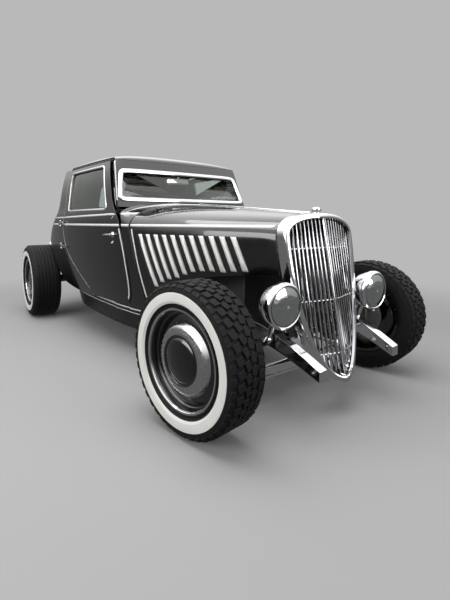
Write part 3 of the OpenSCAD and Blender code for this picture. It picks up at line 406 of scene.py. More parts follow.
def painted_highlight_stripe(node, start, end, side, width, name, material=pale_enamel_and_painted_highlights, lift=0.0008, cells=60, body=None):
    """A pale stripe on a panel, a painted highlight, from start to end, each (x, z)."""
    def place(u, v):
        x, z = start[0] + (end[0] - start[0]) * u, start[1] + (end[1] - start[1]) * u
        along = Vector((end[0] - start[0], 0, end[1] - start[1])).normalized()
        off = (v - 0.5) * width
        x, z = x - along.z * off, z + along.x * off
        return reach(node, x, z, side, lift)[0]
    return sheet((cells, 2), place, name, material, body or body_of_node[node], thickness=0.0016)


def painted_highlight_ribbon(node, spots, side, width, name, material=pale_enamel_and_painted_highlights):
    """A pale stripe, a painted highlight, on a panel that follows spots, each (x, z)."""
    def place(u, v):
        k = min(int(u * (len(spots) - 1)), len(spots) - 2)
        part = u * (len(spots) - 1) - k
        step = Vector((spots[k + 1][0] - spots[k][0], spots[k + 1][1] - spots[k][1])).normalized()
        off = (v - 0.5) * width
        x = spots[k][0] + (spots[k + 1][0] - spots[k][0]) * part - step.y * off
        z = spots[k][1] + (spots[k + 1][1] - spots[k][1]) * part + step.x * off
        return reach(node, x, z, side, 0.0008)[0]
    return sheet((len(spots) * 2, 2), place, name, material, body_of_node[node], thickness=0.0016)


# Two pale belt lines, painted highlights along the belt creases, from the tail to the nose, drawn panel by
# panel so that doors take their share
belt_low, belt_high = 0.930, 0.990


def belt_rise(x):
    """Height of the upper belt line's painted highlight, which climbs gently along the cowl."""
    return belt_high + max(0, x + 0.75) * 0.018


for side_name, side in sides.items():
    for node in ("quarter_" + side_name, "door_" + side_name, "cowl", "hood_" + side_name):
        for line, height, width in (("low", lambda x: belt_low, 0.016), ("high", belt_rise, 0.013)):
            run = edge_run(node, [rear_x - 0.28 + 0.004 * k for k in range(800)], height, side)
            if run and not (line == "high" and node.startswith("hood")):
                x0, x1 = run[0] + 0.003, run[1] - 0.003
                painted_highlight_stripe(node, (x0, height(x0)), (x1, height(x1)), side, width,
                       "belt_line_%s_%s" % (line, node if node != "cowl" else "cowl_" + side_name))

# ------------ louvres and painted highlight lines
# Pressed louvres, eleven a side, raked back and open to the rear; the pale enamel on their crowns is a
# painted highlight, and the black strip behind each is painted shade in its opening
louvre_top, louvre_rake, louvre_pitch, louvre_width = 0.874, 0.44, 0.0727, 0.036


def louvre_low(b):
    """Lowest height of the louvre row at a distance behind the front axle."""
    return 0.675 - 0.155 * max(0.0, (b - 0.30) / 0.46) ** 1.5 if b > 0.30 else 0.675


for side_name, side in sides.items():
    node = "hood_" + side_name
    for k in range(11):
        top_b = 0.158 + k * louvre_pitch
        # The louvre ends where the row does, or short of the hood's lower edge
        low, z = louvre_top - 0.03, louvre_top - 0.03
        while z > louvre_low(top_b - 0.13) and all(
                touch(node, front_x - top_b + (louvre_top - z + 0.015) * louvre_rake + d, z - 0.015, side)
                for d in (-0.045, 0.02)):
            low, z = z, z - 0.005

        def louvre(u, v, spread=louvre_width, rise=0.013, shift=0.0, base=0.0006):
            z = low + (louvre_top - low) * v
            b = top_b - (louvre_top - z) * louvre_rake + (u - 0.5) * spread + shift
            at, normal = reach(node, front_x - b, z, side)
            swell = min(1.0, 4.5 * min(v, 1 - v) + 0.05) * (1.0 if 0 < v < 1 else 0.0)
            return at + normal * (base + rise * swell * sin(pi * min(1.0, u ** 0.8)) ** 0.8)

        # The louvre's crown is in pale enamel, a painted highlight
        sheet((8, 18), louvre, "louvre_%s_%02d" % (side_name, k), pale_enamel_and_painted_highlights, body_of_node[node],
              thickness=0.0014, angle=60)
        # The slot is a flat black strip, painted shade where the louvre opens
        sheet((2, 18), lambda u, v: louvre(u, v, spread=0.022, rise=0.0, shift=0.029, base=0.0004),
              "louvre_slot_%s_%02d" % (side_name, k), flat_black_painted_shade, body_of_node[node], thickness=0.0012)

    # Pale coachlines, painted highlights on the edges, down the door's front edge and the hood's rear edge
    for node, inset, bottom in (("door_" + side_name, 0.018, 0.42), ("hood_" + side_name, -0.016, 0.46)):
        spots = []
        for j in range(33):
            z = bottom + (0.905 - bottom) * j / 32
            met = [x for x in [front_x - 0.7 - 0.002 * m for m in range(300)] if touch(node, x, z, side)]
            if met:
                spots.append(((max(met) if inset > 0 else min(met)) - inset, z))
        painted_highlight_ribbon(node, spots, side, 0.012, "coachline_highlight_" + node)

    # Two fine pale lines along the frame rail, under the body, painted highlights on the rail's upper edge
    rail = "frame_rail_" + side_name
    for drop, width in ((0.016, 0.011), (0.044, 0.006)):
        spots = []
        for j in range(60):
            x = front_x - 0.42 - 0.031 * j
            met = [z for z in [0.50 - 0.004 * m for m in range(70)] if touch(rail, x, z, side)]
            if met:
                spots.append((x, max(met) - drop))
        painted_highlight_ribbon(rail, spots, side, width, "frame_line_%s_%d" % (side_name, width * 1000))

    # Rain gutter over the door
    gutter = [touch("roof", front_x - 1.33 - 0.028 * j, 1.419, side, 0.002) for j in range(30)]
    bead([g[0] for g in gutter if g], 0.0045, "rain_gutter_" + side_name, enamel, "chassis")

    # Door handle: rose, neck and lever
    at, normal = touch("door_" + side_name, front_x - 1.20, 0.862, side)
    body = "door_%s_body" % side_name
    lathe("handle_rose_" + side_name, chrome, body, at, normal,
          [(0, 0.0), (0, 0.021), (0.003, 0.0215), (0.007, 0.017), (0.009, 0.011), (0.030, 0.0085),
           (0.034, 0.0)], steps=32, closed=False)
    grip = [at + normal * (0.031 + 0.004 * sin(pi * j / 8))
            + Vector((0.012 - 0.0155 * j, 0, -0.006 * (j / 8) ** 2)) for j in range(9)]
    bead(grip, 0.0075, "handle_lever_" + side_name, chrome, body)
    # Door lock
    lathe("door_lock_" + side_name, chrome, body,
          touch("door_" + side_name, front_x - 1.20, 0.81, side)[0], normal,
          [(0, 0.0), (0, 0.011), (0.003, 0.011), (0.0045, 0.009), (0.003, 0.006),
           (0.003, 0.0)], steps=24, closed=False)

# ------------ glass surrounds


def rim_of(node, outward):
    """Ordered outline of a pane's outer face."""
    bm = merged(node)
    faces = [f for f in bm.faces if f.normal.dot(outward) > 0.45]
    keep = set(faces)
    loose = [e for e in bm.edges if len([f for f in e.link_faces if f in keep]) == 1]
    follow = {}
    for e in loose:
        for v in e.verts:
            follow.setdefault(v, []).append(e.other_vert(v))
    start = loose[0].verts[0]
    path, before, here = [start], None, start
    while True:
        step = [v for v in follow[here] if v is not before][0]
        if step is start:
            break
        path.append(step)
        before, here = here, step
    points = [v.co.copy() for v in path]
    bm.free()
    return points


def rounded(points, share=0.25, times=2):
    """Rounds a closed outline's corners by cutting them off at a share of each side, several times."""
    for _ in range(times):
        cut = []
        for a, b in zip(points, points[1:] + points[:1]):
            step = min(share, 0.05 / max((b - a).length, 1e-6))
            cut += [a.lerp(b, step), b.lerp(a, step)]
        points = cut
    return points


def surround(node, outward, width, lift, name, material, body, proud=0.006):
    """A flat moulding round a pane, width wide, lifted off its outer face."""
    path = rounded(rim_of(node, outward))
    count = len(path)
    middle = sum(path, Vector()) / count

    def place(u, v):
        k = int(round(u * count)) % count
        at = path[k]
        along = (path[(k + 1) % count] - path[k - 1]).normalized()
        out = along.cross(outward).normalized()
        if out.dot(at - middle) < 0:
            out.negate()
        return at + out * (width * (v - 0.35)) + outward * (lift + proud * sin(pi * v) ** 0.7)

    return sheet((count, 6), place, name, material, body, thickness=0.0015, wrapped=True, angle=70)


lean = radians(20.8)
ahead = Vector((cos(lean), 0, sin(lean)))
surround("windshield_glass", ahead, 0.036, 0.0195, "windshield_surround", chrome, "chassis")
bead(rounded(rim_of("windshield_glass", ahead)), 0.004, "windshield_seal", seal, "chassis", closed=True)
for side_name, side in sides.items():
    body = "door_%s_body" % side_name
    surround("door_glass_" + side_name, Vector((0, side * 0.97, 0.24)).normalized(), 0.022, 0.0105,
             "window_reveal_" + side_name, chrome, body, proud=0.004)
surround("rear_glass", Vector((-0.94, 0, 0.34)).normalized(), 0.024, 0.0105, "rear_window_reveal",
         chrome, "chassis", proud=0.004)
# Polished posts at the ends of the windshield
for side_name, side in sides.items():
    def post(u, v):
        z = 1.10 + 0.30 * u
        x = front_x - 1.181 - (z - 1.092) * 0.38 - 0.034 * v
        swell = 0.0008 + 0.003 * sin(pi * v)
        return reach("windshield_frame", x, z, side)[0] + Vector((0, side * swell, 0))

    sheet((24, 6), post, "windshield_post_" + side_name, chrome, "chassis", thickness=0.0014, angle=60)

# ------------ nose
# Plain round radiator cap on its neck
lathe("radiator_cap", chrome, "chassis", (front_x + 0.118, 0, 0.998), (0, 0, 1),
      [(0, 0.0), (0, 0.021), (0.004, 0.022), (0.006, 0.019), (0.010, 0.019), (0.012, 0.025),
       (0.022, 0.026), (0.027, 0.024), (0.031, 0.017), (0.033, 0.008), (0.0335, 0.0)], steps=48, closed=False)
# Centre bar down the grille's prow
prow = [Vector((front_x + 0.152 + (0.912 - z) * 0.157 + 0.038 + (0.999 - z) * 0.054 - 0.020, 0, z))
        for z in [0.975 - 0.77 * k / 24 for k in range(25)]]
bead(prow, 0.0062, "grille_centre_bar", chrome, "chassis")

lamp_centre = {n: Vector((front_x + 0.234, s * 0.349, 0.572)) for n, s in sides.items()}
for side_name, centre in lamp_centre.items():
    out = Vector((1, 0, 0))
    lathe("headlight_rim_" + side_name, chrome, "chassis", centre, out,
          [(-0.008, 0.1086), (0.006, 0.1098), (0.016, 0.1082), (0.0225, 0.1022), (0.0245, 0.0975),
           (0.022, 0.0935), (0.019, 0.0945), (0.0195, 0.0985), (0.014, 0.1035),
           (-0.008, 0.1076)], steps=96)
    lathe("headlight_gasket_" + side_name, seal, "chassis", centre, out,
          [(0.0205, 0.0935), (0.0215, 0.0905), (0.0195, 0.0885), (0.0185, 0.0935)], steps=72)
    dome = [(0.0415 - (r / 0.093) ** 2 * 0.0200, r) for r in [0.0925 * k / 12 for k in range(13)]]
    back = [(a - 0.0025, r) for a, r in reversed(dome)]
    lathe("headlight_lens_" + side_name, lens_glass, "chassis", centre, out,
          dome + back, steps=72, closed=False)
    # Clamp screw under the rim
    lathe("headlight_screw_" + side_name, chrome, "chassis", centre + Vector((0.006, 0, -0.112)),
          (1, 0, 0),
          [(0, 0.0), (0, 0.005), (0.012, 0.005), (0.015, 0.003), (0.016, 0.0)], steps=16, closed=False)

# ------------ wheels
tyre_size = {"front": (0.348, 0.205, 0.228), "rear": (0.358, 0.256, 0.216)}
wall_band = {"front": (0.255, 0.304), "rear": (0.252, 0.300)}


def tyre_wall(radius, width, rim):
    """Half of the tyre's outline as (radius, half width), from the bead to the tread."""
    h, bead_at = width / 2, 0.36 * width
    foot = [(rim + 0.0002, bead_at - 0.0004), (rim + 0.009, bead_at + 0.0034), (rim + 0.010, bead_at + 0.009),
            (rim + 0.014, bead_at + 0.012), (rim + 0.017, bead_at + 0.010)]
    wall = [(rim + (radius - rim) * k, h * bulge)
            for k, bulge in ((0.28, 0.985), (0.45, 1.0), (0.68, 0.985), (0.84, 0.93))]
    return foot + wall + [(radius - 0.016, h * 0.87), (radius - 0.011, h * 0.80)]


def width_at(outline, radius):
    """Half width of a tyre's outline at a radius."""
    for (r0, w0), (r1, w1) in zip(outline, outline[1:]):
        if r0 <= radius <= r1:
            return w0 + (w1 - w0) * (radius - r0) / (r1 - r0)
    return outline[-1][1]


for name in ("front_left", "front_right", "rear_left", "rear_right"):
    end, side_name = name.split("_")
    body = name + "_wheel"
    spin = joints["spin_" + name]
    centre = Vector(spin["pos_m"])
    out = Vector(spin["axis"]) * sides[side_name]
    radius, width, rim = tyre_size[end]
    outline = tyre_wall(radius, width, rim)
    inner, outer = wall_band[end]
    band = [(inner, width_at(outline, inner)), (inner + 0.001, width_at(outline, inner) + 0.0012)]
    band += [(r, width_at(outline, r) + 0.0014) for r in (0.265, 0.275, 0.285, 0.295)]
    band += [(outer - 0.001, width_at(outline, outer) + 0.0012), (outer, width_at(outline, outer))]
    half = sorted([c for c in outline if not inner < c[0] < outer] + band)
    # The tread's bed lies under the blocks; the rear tyres have ribs with narrow grooves instead
    bed = radius - 0.010 if end == "front" else radius
    crown = [(bed, width * 0.33)] if end == "front" else \
        [(radius - 0.004, width * 0.40)] + [c for g in (0.30, 0.18, 0.06) for c in
         ((radius, width * g + 0.008), (radius, width * g + 0.0025), (radius - 0.008, width * g + 0.002),
          (radius - 0.008, width * g - 0.002), (radius, width * g - 0.0025))]
    rising = [(w, r) for r, w in half] + [(w, r) for r, w in crown]
    falling = [(-w, r) for w, r in reversed(rising)]
    carcass = turned(rising + falling, centre, out, steps=96)
    for f in carcass.faces:
        arm = f.calc_center_median() - centre
        along = arm.dot(out)
        from_axis = (arm - out * along).length
        if along > 0 and inner + 0.0003 < from_axis < outer - 0.0003 and f.normal.dot(out) > 0.5:
            f.material_index = 1
    made = piece(carcass, "tyre_" + name + "_moulded", [rubber, whitewall], body, angle=28)
    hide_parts("tyre_" + name)
    place = Matrix.Translation(centre) @ facing(out)
    if end == "front":
        # Four rows of tread blocks, the shoulder rows stepped down round the edge
        rows = [(0.018, 0.032, 0.040, 18, 0.0, 0.0), (-0.018, 0.032, 0.040, -18, 0.5, 0.0),
                (0.059, 0.037, 0.037, 12, 0.5, 0.0), (-0.059, 0.037, 0.037, -12, 0.0, 0.0),
                (0.0885, 0.020, 0.034, 0, 0.0, 44), (-0.0885, 0.020, 0.034, 0, 0.5, -44)]
        count, tall = 42, 0.0135
        blocks = bmesh.new()
        for across, wide, long, skew, phase, tilt in rows:
            made_cube = bmesh.ops.create_cube(blocks, size=1.0)["verts"]
            bmesh.ops.scale(blocks, verts=made_cube, vec=(tall, long, wide))
            edges = list({e for v in made_cube for e in v.link_edges})
            rounded_block = bmesh.ops.bevel(blocks, geom=edges, offset=0.0022, segments=1, profile=0.5,
                                            affect="EDGES", material=-1)
            block = list({v for f in rounded_block["faces"] for v in f.verts})
            seat_r = radius - tall / 2 - (0.0005 if not tilt else 0.0115)
            turn = (Matrix.Rotation(2 * pi * phase / count, 4, "Z")
                    @ Matrix.Translation((seat_r, 0, across))
                    @ Matrix.Rotation(radians(-tilt), 4, "Y") @ Matrix.Rotation(radians(skew), 4, "X"))
            bmesh.ops.transform(blocks, verts=block, matrix=turn)
        bmesh.ops.spin(blocks, geom=blocks.verts[:] + blocks.edges[:] + blocks.faces[:], cent=(0, 0, 0),
                       axis=(0, 0, 1), angle=2 * pi * (count - 1) / count, steps=count - 1,
                       use_duplicate=True)
        bmesh.ops.transform(blocks, verts=blocks.verts, matrix=place)
        piece(blocks, "tread_blocks_" + name, rubber, body, angle=40)

    # Pressed wheel in enamel, with a bright trim ring, and the cap with its dark centre
    dressed("wheel_" + name, enamel)
    rim_w = 0.36 * width
    ring = [(rim_w + 0.0122, rim + 0.0058), (rim_w + 0.0160, rim + 0.0040), (rim_w + 0.0150, rim - 0.0040),
            (rim_w + 0.0090, rim - 0.0085), (rim_w + 0.0070, rim - 0.0080), (rim_w + 0.0122, rim - 0.0040)]
    lathe("trim_ring_" + name, chrome, body, centre, out, ring, steps=96)

    def domed(at, normal, centre=centre, out=out, limit=(rim - 0.060) * 0.68):
        """The dark dome in the middle of a hubcap."""
        arm = at - centre
        return (arm - out * arm.dot(out)).length < limit

    dressed("hubcap_" + name, [alloy, enamel], second=domed)
    # Valve stem through the wheel
    stem = Matrix.Translation(centre) @ facing(out)
    foot = stem @ Vector((rim - 0.033, 0, rim_w - 0.040))
    lathe("valve_stem_" + name, seal, body, foot, out,
          [(0, 0.0), (0, 0.0045), (0.020, 0.0045), (0.021, 0.0035), (0.034, 0.0035),
           (0.035, 0.0)], steps=16, closed=False)

# ------------ front suspension
for side_name, side in sides.items():
    # Tube shock absorbers from the axle to the frame
    low = Vector((front_x - 0.045, side * 0.452, 0.335))
    high = Vector((front_x - 0.075, side * 0.372, 0.475))
    bead([low, low.lerp(high, 0.62)], 0.021, "shock_body_" + side_name, chrome, "chassis")
    bead([low.lerp(high, 0.5), high], 0.016, "shock_shroud_" + side_name, satin, "chassis")
    for end, at in (("low", low), ("high", high)):
        lathe("shock_eye_%s_%s" % (end, side_name), steel, "chassis", at, (1, 0, 0),
              [(-0.016, 0.004), (-0.016, 0.015), (0.016, 0.015), (0.016, 0.004)], steps=24)
    # U-bolts that hold the spring to the crossmember
    for shift in (-0.018, 0.018):
        loop = [Vector((front_x + shift, side * y, z))
                for y, z in ((0.030, 0.437), (0.046, 0.425), (0.046, 0.330), (0.030, 0.313))]
        bead(loop, 0.005, "spring_bolt_%s_%d" % (side_name, shift > 0), steel, "chassis")
    # Bushing in the frame horn's eye
    mount = next(m for m in frame["record"]["mounts"] if m["name"] == "horn_eye_" + side_name)
    eye = Vector(mount["pos_m"])
    lathe("horn_bushing_" + side_name, steel, "chassis", eye, (0, 1, 0),
          [(-0.0265, 0.0092), (-0.0265, 0.0150), (0.0265, 0.0150), (0.0265, 0.0092)], steps=32)
    # Kingpin caps
    for z in (0.281, 0.421):
        lathe("kingpin_cap_%s_%d" % (side_name, z * 1000), chrome, "steer_%s_body" % side_name,
              (front_x, side * 0.572, z), (0, 0, 1),
              [(-0.004, 0.0), (-0.004, 0.018), (0.004, 0.018), (0.006, 0.015), (0.006, 0.0)],
              steps=24, closed=False)

# ------------ tail


def on_tail(node, y, z):
    """Point and normal on the back of the car at y and z."""
    at, normal, _, _ = trees[node].ray_cast(Vector((-3.0, y, z)), Vector((1, 0, 0)))
    return at, normal


for side_name, side in sides.items():
    at, normal = on_tail("quarter_" + side_name, side * 0.585, 0.70)
    back = (normal * 0.35 + Vector((-1, 0, 0))).normalized()
    lathe("tail_lamp_bezel_" + side_name, chrome, "chassis", at, back,
          [(-0.030, 0.0), (-0.030, 0.030), (0.004, 0.044), (0.018, 0.050), (0.026, 0.049),
           (0.029, 0.045), (0.024, 0.041), (0.020, 0.0)], closed=False)
    lathe("tail_lamp_glass_" + side_name, red_glass, "chassis", at, back,
          [(0.022, 0.0405), (0.030, 0.036), (0.038, 0.026), (0.042, 0.012), (0.043, 0.0),
           (0.022, 0.0)], steps=48, closed=False)
    # Exhaust tips
    lathe("exhaust_tip_" + side_name, chrome, "chassis", (rear_x - 0.262, side * 0.33, 0.262),
          (-1, 0, 0),
          [(0, 0.0265), (0, 0.031), (0.10, 0.032), (0.118, 0.0345), (0.121, 0.033), (0.118, 0.030),
           (0.02, 0.0285)], steps=48)
    # A flat black disk at each tip is painted shade for the bore
    lathe("exhaust_bore_shade_" + side_name, flat_black_painted_shade, "chassis", (rear_x - 0.3905, side * 0.33, 0.262),
          (-1, 0, 0),
          [(0, 0.0), (0, 0.0255), (0.002, 0.0255), (0.002, 0.0)], steps=32, closed=False)
# Blank number plate on the lid, with its frame
at, normal = on_tail("deck_lid", 0.0, 0.665)
plate = Matrix.Translation(at + normal * 0.012) @ facing(normal)
bm = bmesh.new()
bmesh.ops.create_cube(bm, size=1.0)
bmesh.ops.scale(bm, verts=bm.verts, vec=(0.305, 0.152, 0.002))
upright = [e for e in bm.edges if abs((e.verts[0].co - e.verts[1].co).normalized().z) > 0.9]
bmesh.ops.bevel(bm, geom=upright, offset=0.012, segments=4, profile=0.5, affect="EDGES", material=-1)
face = [f for f in bm.faces if f.normal.z > 0.9]
bmesh.ops.inset_region(bm, faces=face, thickness=0.006, depth=-0.0006)
bmesh.ops.transform(bm, verts=bm.verts, matrix=plate)
piece(bm, "blank_number_plate", pale_enamel_and_painted_highlights, "deck_lid_body")
for x in (-0.1, 0.1):
    lathe("plate_bolt_%d" % (x > 0), chrome, "deck_lid_body", plate @ Vector((x, 0.05, 0)), normal,
          [(-0.016, 0.0), (-0.016, 0.007), (0.002, 0.007), (0.005, 0.004),
           (0.005, 0.0)], steps=20, closed=False)
# Lid handle
at, normal = on_tail("deck_lid", 0.0, 0.80)
lathe("lid_handle_post", chrome, "deck_lid_body", at, normal,
      [(-0.002, 0.0), (-0.002, 0.018), (0.004, 0.018), (0.008, 0.009), (0.026, 0.008),
       (0.028, 0.0)], steps=32, closed=False)
bead([at + normal * 0.028 + Vector((0, -0.055 + 0.0138 * k, 0)) for k in range(9)], 0.0078,
     "lid_handle_grip", chrome, "deck_lid_body")

# ------------ cabin
low, high = seat_box
cushion_top, cushion_front, back_front = low.z + 0.120, front_x - 1.680, front_x - 2.160


def pad(name, corner_a, corner_b, channels, grow):
    """A sprung cushion: rounded block, swollen by cloth pressure, then pleated along its channels."""
    bm = bmesh.new()
    size = Vector(corner_b) - Vector(corner_a)
    bmesh.ops.create_cube(bm, size=1.0)
    bmesh.ops.scale(bm, verts=bm.verts, vec=size - Vector((grow, grow, grow)) * 2)
    bmesh.ops.translate(bm, verts=bm.verts, vec=(Vector(corner_a) + Vector(corner_b)) / 2)
    bmesh.ops.bevel(bm, geom=bm.edges[:], offset=0.026, segments=4, profile=0.5, affect="EDGES", material=-1)
    made = piece(bm, name, hide, "chassis")
    remesh = made.modifiers.new("even", "REMESH")
    remesh.mode, remesh.voxel_size = "VOXEL", 0.008
    cloth = made.modifiers.new("stuffing", "CLOTH")
    cloth.settings.use_pressure, cloth.settings.uniform_pressure_force = True, 4.0
    cloth.settings.effector_weights.gravity = 0.0
    cloth.point_cache.frame_start, cloth.point_cache.frame_end = 1, 20
    for k in range(1, 21):
        bpy.context.scene.frame_set(k)
    graph = bpy.context.evaluated_depsgraph_get()
    swollen = bpy.data.meshes.new_from_object(made.evaluated_get(graph), depsgraph=graph)
    made.modifiers.clear()
    bpy.context.scene.frame_set(1)
    a, b = Vector(corner_a), Vector(corner_b)
    middle = (a + b) / 2
    swollen.update()
    for v, n in zip(swollen.vertices, [Vector(x.vector) for x in swollen.vertex_normals]):
        across = (v.co.y - middle.y) / channels
        fold = abs(across - round(across)) * 2
        facing_out = max(0.0, n.z) if size.x > size.z else max(0.0, n.x)
        v.co -= n * 0.008 * (1 - min(1.0, fold * 3.2) ** 0.5) * facing_out
        v.co = Vector([min(max(c, lo + 0.001), hi - 0.001) for c, lo, hi in zip(v.co, a, b)])
    made.data = swollen
    swollen.shade_smooth()
    finer = made.modifiers.new("finer", "SUBSURF")
    finer.levels = finer.render_levels = 1
    return made


seat_cushion = pad("seat_cushion", (back_front + 0.002, low.y, low.z),
                   (cushion_front, high.y, cushion_top), 0.07, 0.012)
seat_back = pad("seat_back", (low.x, low.y, low.z + 0.002), (back_front, high.y, high.z), 0.07, 0.012)
plinths = merged("seat")
bmesh.ops.bisect_plane(plinths, geom=plinths.verts[:] + plinths.edges[:] + plinths.faces[:],
                       plane_co=(0, 0, low.z + 0.001), plane_no=(0, 0, 1), clear_outer=True)
bmesh.ops.holes_fill(plinths, edges=plinths.edges, sides=0)
plinth = piece(plinths, "seat_plinths", carpet, "chassis")
for made in (seat_cushion, seat_back, plinth):
    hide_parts("seat")
# Piping round the cushion's top edge and up the back
y0, y1 = low.y + 0.016, high.y - 0.016
edge_z, edge_x = cushion_top - 0.012, back_front - 0.012
round_cushion = [(back_front + 0.01, y0, edge_z), (cushion_front - 0.04, y0, edge_z),
                 (cushion_front - 0.014, y0 + 0.026, edge_z - 0.002),
                 (cushion_front - 0.014, y1 - 0.026, edge_z - 0.002),
                 (cushion_front - 0.04, y1, edge_z), (back_front + 0.01, y1, edge_z)]
round_back = [(edge_x, y0, cushion_top + 0.01), (edge_x, y0, high.z - 0.04),
              (edge_x - 0.002, y0 + 0.026, high.z - 0.014), (edge_x - 0.002, y1 - 0.026, high.z - 0.014),
              (edge_x, y1, high.z - 0.04), (edge_x, y1, cushion_top + 0.01)]
bead([Vector(c) for c in round_cushion], 0.005, "seat_piping_cushion", seal, "chassis")
bead([Vector(c) for c in round_back], 0.005, "seat_piping_back", seal, "chassis")

# Five round dials in the dashboard, with turned bezels, cards, needles and glass
dash_face = Vector((-0.98, 0, 0.196)).normalized()
for k, (y, r) in enumerate(((0.33, 0.040), (0.22, 0.034), (0.44, 0.034), (0.05, 0.028), (-0.04, 0.028))):
    at = Vector((front_x - 1.2835, y, 1.000))
    lathe("dial_bezel_%d" % k, chrome, "chassis", at, dash_face,
          [(-0.002, r), (0.004, r), (0.007, r - 0.002), (0.0065, r - 0.005), (0.003, r - 0.006),
           (-0.002, r - 0.004)], steps=48)
    lathe("dial_card_%d" % k, dial_card, "chassis", at, dash_face,
          [(-0.001, 0.0), (-0.001, r - 0.0045), (0.0012, r - 0.0045),
           (0.0012, 0.0)], steps=40, closed=False)
    card = Matrix.Translation(at) @ facing(dash_face)
    for j in range(9):
        angle = radians(-130 + 32.5 * j)
        mark = [card @ Vector((sin(angle) * (r - inset), cos(angle) * (r - inset), 0.0018))
                for inset in (0.013, 0.008)]
        bead(mark, 0.0008, "dial_mark_%d_%d" % (k, j), pale_enamel_and_painted_highlights, "chassis")
    needle = [card @ Vector((0, 0, 0.003)), card @ Vector((-0.55 * (r - 0.01), 0.75 * (r - 0.01), 0.003))]
    bead(needle, 0.0009, "dial_needle_%d" % k, red_glass, "chassis")

# Rear-view mirror on its stalk under the header
mirror_at = Vector((front_x - 1.305, -0.02, 1.272))
bm = bmesh.new()
bmesh.ops.create_cube(bm, size=1.0)
bmesh.ops.scale(bm, verts=bm.verts, vec=(0.014, 0.20, 0.052))
bmesh.ops.bevel(bm, geom=[e for e in bm.edges if abs((e.verts[0].co - e.verts[1].co).normalized().x) > 0.9],
                offset=0.022, segments=6, profile=0.5, affect="EDGES", material=-1)
bmesh.ops.bevel(bm, geom=[e for e in bm.edges if len(e.link_faces) == 2 and e.calc_face_angle() > 1.2],
                offset=0.004, segments=3, profile=0.5, affect="EDGES", material=-1)
bmesh.ops.translate(bm, verts=bm.verts, vec=mirror_at)
piece(bm, "rear_view_mirror", chrome, "chassis")
bead([mirror_at + Vector((x, 0, z)) for x, z in ((0.004, 0), (0.012, 0.045), (-0.004, 0.110))],
     0.005, "mirror_stalk", chrome, "chassis")
# Gear lever with its boot and knob
lever = [Vector((front_x - b, y, z)) for b, y, z in ((1.395, 0, 0.43), (1.40, 0, 0.55), (1.45, 0.01, 0.70),
                                                     (1.49, 0.015, 0.80))]
bead(lever, 0.007, "gear_lever", chrome, "chassis")
lathe("gear_boot", seal, "chassis", (front_x - 1.395, 0, 0.437), (0, 0, 1),
      [(0, 0.0), (0, 0.055), (0.012, 0.048), (0.020, 0.040), (0.026, 0.034), (0.034, 0.022),
       (0.042, 0.018), (0.046, 0.010), (0.046, 0.0)], steps=40, closed=False)
lathe("gear_knob", phenolic, "chassis", lever[-1], lever[-1] - lever[-2],
      [(-0.004, 0.0), (-0.004, 0.010), (0.004, 0.018), (0.016, 0.024), (0.028, 0.021), (0.036, 0.012),
       (0.038, 0.0)], steps=32, closed=False)
# Horn button in the steering wheel
lathe("horn_button", chrome, "chassis", wheel_centre, wheel_axis,
      [(0.010, 0.0), (0.010, 0.036), (0.018, 0.036), (0.024, 0.030), (0.028, 0.018),
       (0.029, 0.0)], steps=48, closed=False)
# Window cranks and inner handles on the doors
for side_name, side in sides.items():
    for name, x, z in (("crank", front_x - 1.62, 0.80), ("inner_handle", front_x - 1.34, 0.84)):
        tree = trees["door_" + side_name]
        at, normal, _, _ = tree.ray_cast(Vector((x, side * 0.30, z)), Vector((0, side, 0)))
        inwards = Vector((0, -side, 0))
        lathe("door_%s_rose_%s" % (name, side_name), chrome, "door_%s_body" % side_name, at, inwards,
              [(-0.002, 0.0), (-0.002, 0.022), (0.005, 0.020), (0.009, 0.009), (0.026, 0.008),
               (0.027, 0.0)], steps=28, closed=False)
        bead([at + inwards * 0.024 + Vector((-0.010 * j, 0, -0.004 * j)) for j in range(9)], 0.006,
             "door_%s_%s" % (name, side_name), chrome, "door_%s_body" % side_name)

# ------------ engine dress and radiator
for side_name, side in sides.items():
    # Finned valve covers along the top
    bm = bmesh.new()
    bmesh.ops.create_cube(bm, size=1.0)
    bmesh.ops.scale(bm, verts=bm.verts, vec=(0.52, 0.11, 0.040))
    bmesh.ops.bevel(bm, geom=bm.edges[:], offset=0.012, segments=3, profile=0.5, affect="EDGES", material=-1)
    bmesh.ops.translate(bm, verts=bm.verts, vec=(front_x - 0.60, side * 0.115, 0.782))
    piece(bm, "valve_cover_" + side_name, alloy, "chassis")
    for k in range(5):
        fin_y = side * (0.075 + 0.02 * k)
        bead([Vector((front_x - 0.37, fin_y, 0.803)), Vector((front_x - 0.83, fin_y, 0.803))], 0.0035,
             "valve_cover_fin_%s_%d" % (side_name, k), alloy, "chassis")
lathe("air_cleaner", chrome, "chassis", (front_x - 0.60, 0, 0.806), (0, 0, 1),
      [(0, 0.0), (0, 0.075), (0.010, 0.105), (0.042, 0.108), (0.052, 0.100), (0.056, 0.060),
       (0.060, 0.014), (0.070, 0.010), (0.070, 0.0)], closed=False)
lathe("fan_hub", satin, "chassis", (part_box("radiator")[0].x - 0.006, 0, 0.62), (-1, 0, 0),
      [(0, 0.0), (0, 0.13), (0.004, 0.135), (0.010, 0.135), (0.012, 0.05), (0.030, 0.045),
       (0.030, 0.0)], steps=48, closed=False)

# ------------ floor, light and camera
scene = bpy.context.scene
scene.view_settings.view_transform = "Standard"
backdrop_colour = "#b9b9b9"

# Pale floor that fades into the backdrop a few metres out
pale, t, s, p = finish("pale_floor", "#a6a6a6", Roughness=0.9)
distance = add(t, "ShaderNodeVectorMath", {0: p}, operation="LENGTH")
fade = add(t, "ShaderNodeMapRange", {"Value": distance.outputs["Value"], "From Min": 1.9, "From Max": 4.6},
           interpolation_type="SMOOTHSTEP")
plain = add(t, "ShaderNodeEmission", {"Color": linear(backdrop_colour), "Strength": 1.0})
blend = add(t, "ShaderNodeMixShader", {0: fade.outputs["Result"], 1: s.outputs["BSDF"],
                                       2: plain.outputs["Emission"]})
